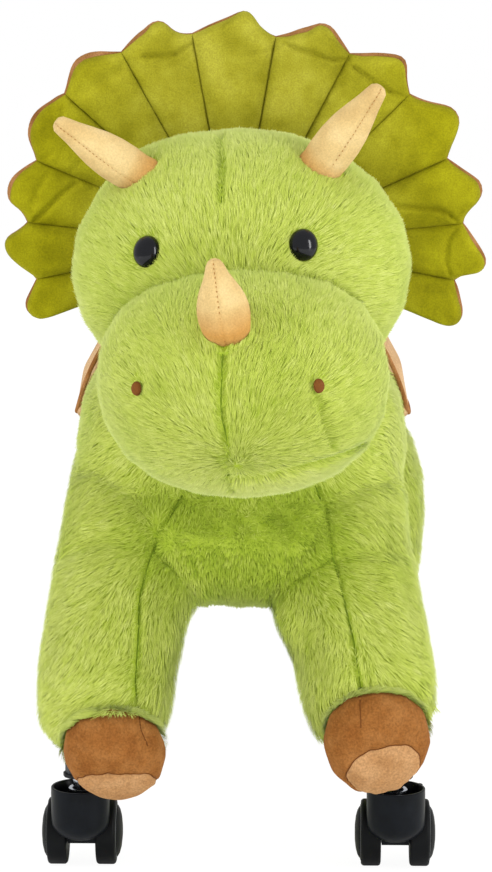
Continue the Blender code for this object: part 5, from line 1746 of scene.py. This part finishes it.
def make_stage():
    camera = bpy.data.cameras.new("photo_camera")
    camera.sensor_fit = "VERTICAL"
    camera.sensor_height = 36.0
    camera.lens = FOCAL_PIXELS / PHOTO_SIZE[1] * 36.0
    camera_object = link(bpy.data.objects.new("photo_camera", camera))
    camera_object.location = CAMERA_PLACE
    camera_object.rotation_euler = (math.pi / 2 - CAMERA_DIP, 0.0, CAMERA_TURN)
    bpy.context.scene.camera = camera_object

    world = bpy.data.worlds.new("studio")
    bpy.context.scene.world = world
    world.use_nodes = True
    tree = world.node_tree
    background = tree.nodes["Background"]
    path = tree.nodes.new("ShaderNodeLightPath")
    seen = tree.nodes.new("ShaderNodeMath")
    seen.operation = "MAXIMUM"
    tree.links.new(path.outputs["Is Camera Ray"], seen.inputs[0])
    tree.links.new(path.outputs["Is Transmission Ray"], seen.inputs[1])
    strength = tree.nodes.new("ShaderNodeMapRange")
    strength.inputs["To Min"].default_value = 0.62
    strength.inputs["To Max"].default_value = 1.0
    tree.links.new(seen.outputs[0], strength.inputs["Value"])
    tree.links.new(strength.outputs["Result"], background.inputs["Strength"])
    background.inputs["Color"].default_value = (1.0, 1.0, 1.0, 1.0)

    floor_looks = Looks("studio_floor", 0.9)
    floor_looks.set(Base_Color=(0.93, 0.93, 0.93, 1.0), Specular_IOR_Level=0.1)
    glow = floor_looks.node("Emission", Strength=1.10)
    ray = floor_looks.node("LightPath")
    share = floor_looks.span(ray.outputs["Is Camera Ray"], 0.0, 1.0, 0.0, 0.86)
    both = floor_looks.node("MixShader")
    floor_looks.link(share, both.inputs["Fac"])
    floor_looks.link(floor_looks.shader.outputs["BSDF"], both.inputs[1])
    floor_looks.link(glow.outputs["Emission"], both.inputs[2])
    output = floor_looks.tree.nodes["Material Output"]
    floor_looks.link(both.outputs["Shader"], output.inputs["Surface"])
    corners = [(x * FLOOR_HALF, y * FLOOR_HALF, 0.0) for x, y in ((-1, -1), (1, -1), (1, 1), (-1, 1))]
    floor_mesh = mesh_from("studio_floor", corners, [(0, 1, 2, 3)], False)
    floor = new_object("studio_floor", floor_mesh, floor_looks.material)

    for lamp_name, lamp in LAMPS.items():
        area_lamp(lamp_name, *lamp)
    bpy.context.scene.view_settings.view_transform = "Standard"


make_stage()
for eye_word in ("left", "right"):
    make_eye(eye_word)
    make_nostril(eye_word)
for horn_node, horn in HORNS.items():
    make_horn(horn_node, *horn)
make_frill()
hems = {"hoof_" + corner_name: make_hoof("hoof_" + corner_name) for corner_name in CORNERS}
make_saddle()
for corner_name in CORNERS:
    make_hood(corner_name)
    make_stem(corner_name)
    for wheel_word in ("left", "right"):
        make_wheel(corner_name, wheel_word)
for grip_word in ("left", "right"):
    make_grip(grip_word)
make_handlebar()
dress_kept_nodes()

mouth = on_form(trees["muzzle_plush"], 233, 470)
down_and_out = comb_along((0.0, 0.10, -0.75), 0.60)
down_and_back = comb_along((0.0, 0.35, -0.90), 0.20)
back_and_down = comb_along((0.0, 0.85, -0.70), 0.12)
PILES = {
    "torso_plush": Pile(back_and_down, 0.0110, 0.36, 0.0018, 560000, 0.00028),
    "head_plush": Pile(comb_away((0.0, -0.262, 0.412), 0.25), 0.0105, 0.36, 0.0012, 1250000, 0.00020),
    "muzzle_plush": Pile(comb_away(mouth, 0.15), 0.0105, 0.36, 0.0028, 1250000, 0.00020),
    "front_leg_left": Pile(down_and_out, 0.0112, 0.38, 0.0022, 900000, 0.00024),
    "front_leg_right": Pile(down_and_out, 0.0112, 0.38, 0.0022, 900000, 0.00024),
    "rear_leg_left": Pile(down_and_back, 0.0112, 0.38, 0.0012, 560000, 0.00028),
    "rear_leg_right": Pile(down_and_back, 0.0112, 0.38, 0.0012, 560000, 0.00028),
    "tail_plush": Pile(comb_along((0.0, 1.0, -0.20), 0.05), 0.0112, 0.38, 0.0030, 560000, 0.00028),
}
# The hem's strands are a little paler than the rest: painted light against the shade under the leg's
# lip.
HEM = Pile(down_and_out, 0.0095, 0.46, 0.0, 1600000, 0.00024, 0.62)
shaped = {fur_node: shape_skin(fur_node) for fur_node in PILES}
surfaces = {fur_node: tree_of(skin.data) for fur_node, skin in shaped.items()}
outside = joined([skin.data for skin in shaped.values()])
seam_places = [traced(outside, pixels) for pixels in SEAMS]
mouth_places = [place for line in seam_places[MOUTH_SEAMS] for place in line]
fold_places = [place for pixels in FOLDS for place in traced(outside, pixels)]
skins = {}
for fur_node, pile_kind in PILES.items():
    skins[fur_node] = finish_skin(fur_node, shaped[fur_node], pile_kind.depth)
seam_threads = sew(joined([skin.data for skin in shaped.values()]))
for order, (fur_node, pile_kind) in enumerate(PILES.items()):
    grow(fur_node + "_pile", skins[fur_node], seam_threads, pile_kind, 100 + 10 * order)
for order, (hoof_node, hem_skin) in enumerate(hems.items()):
    grow(hoof_node + "_hem", hem_skin, seam_threads, HEM, 300 + 10 * order)
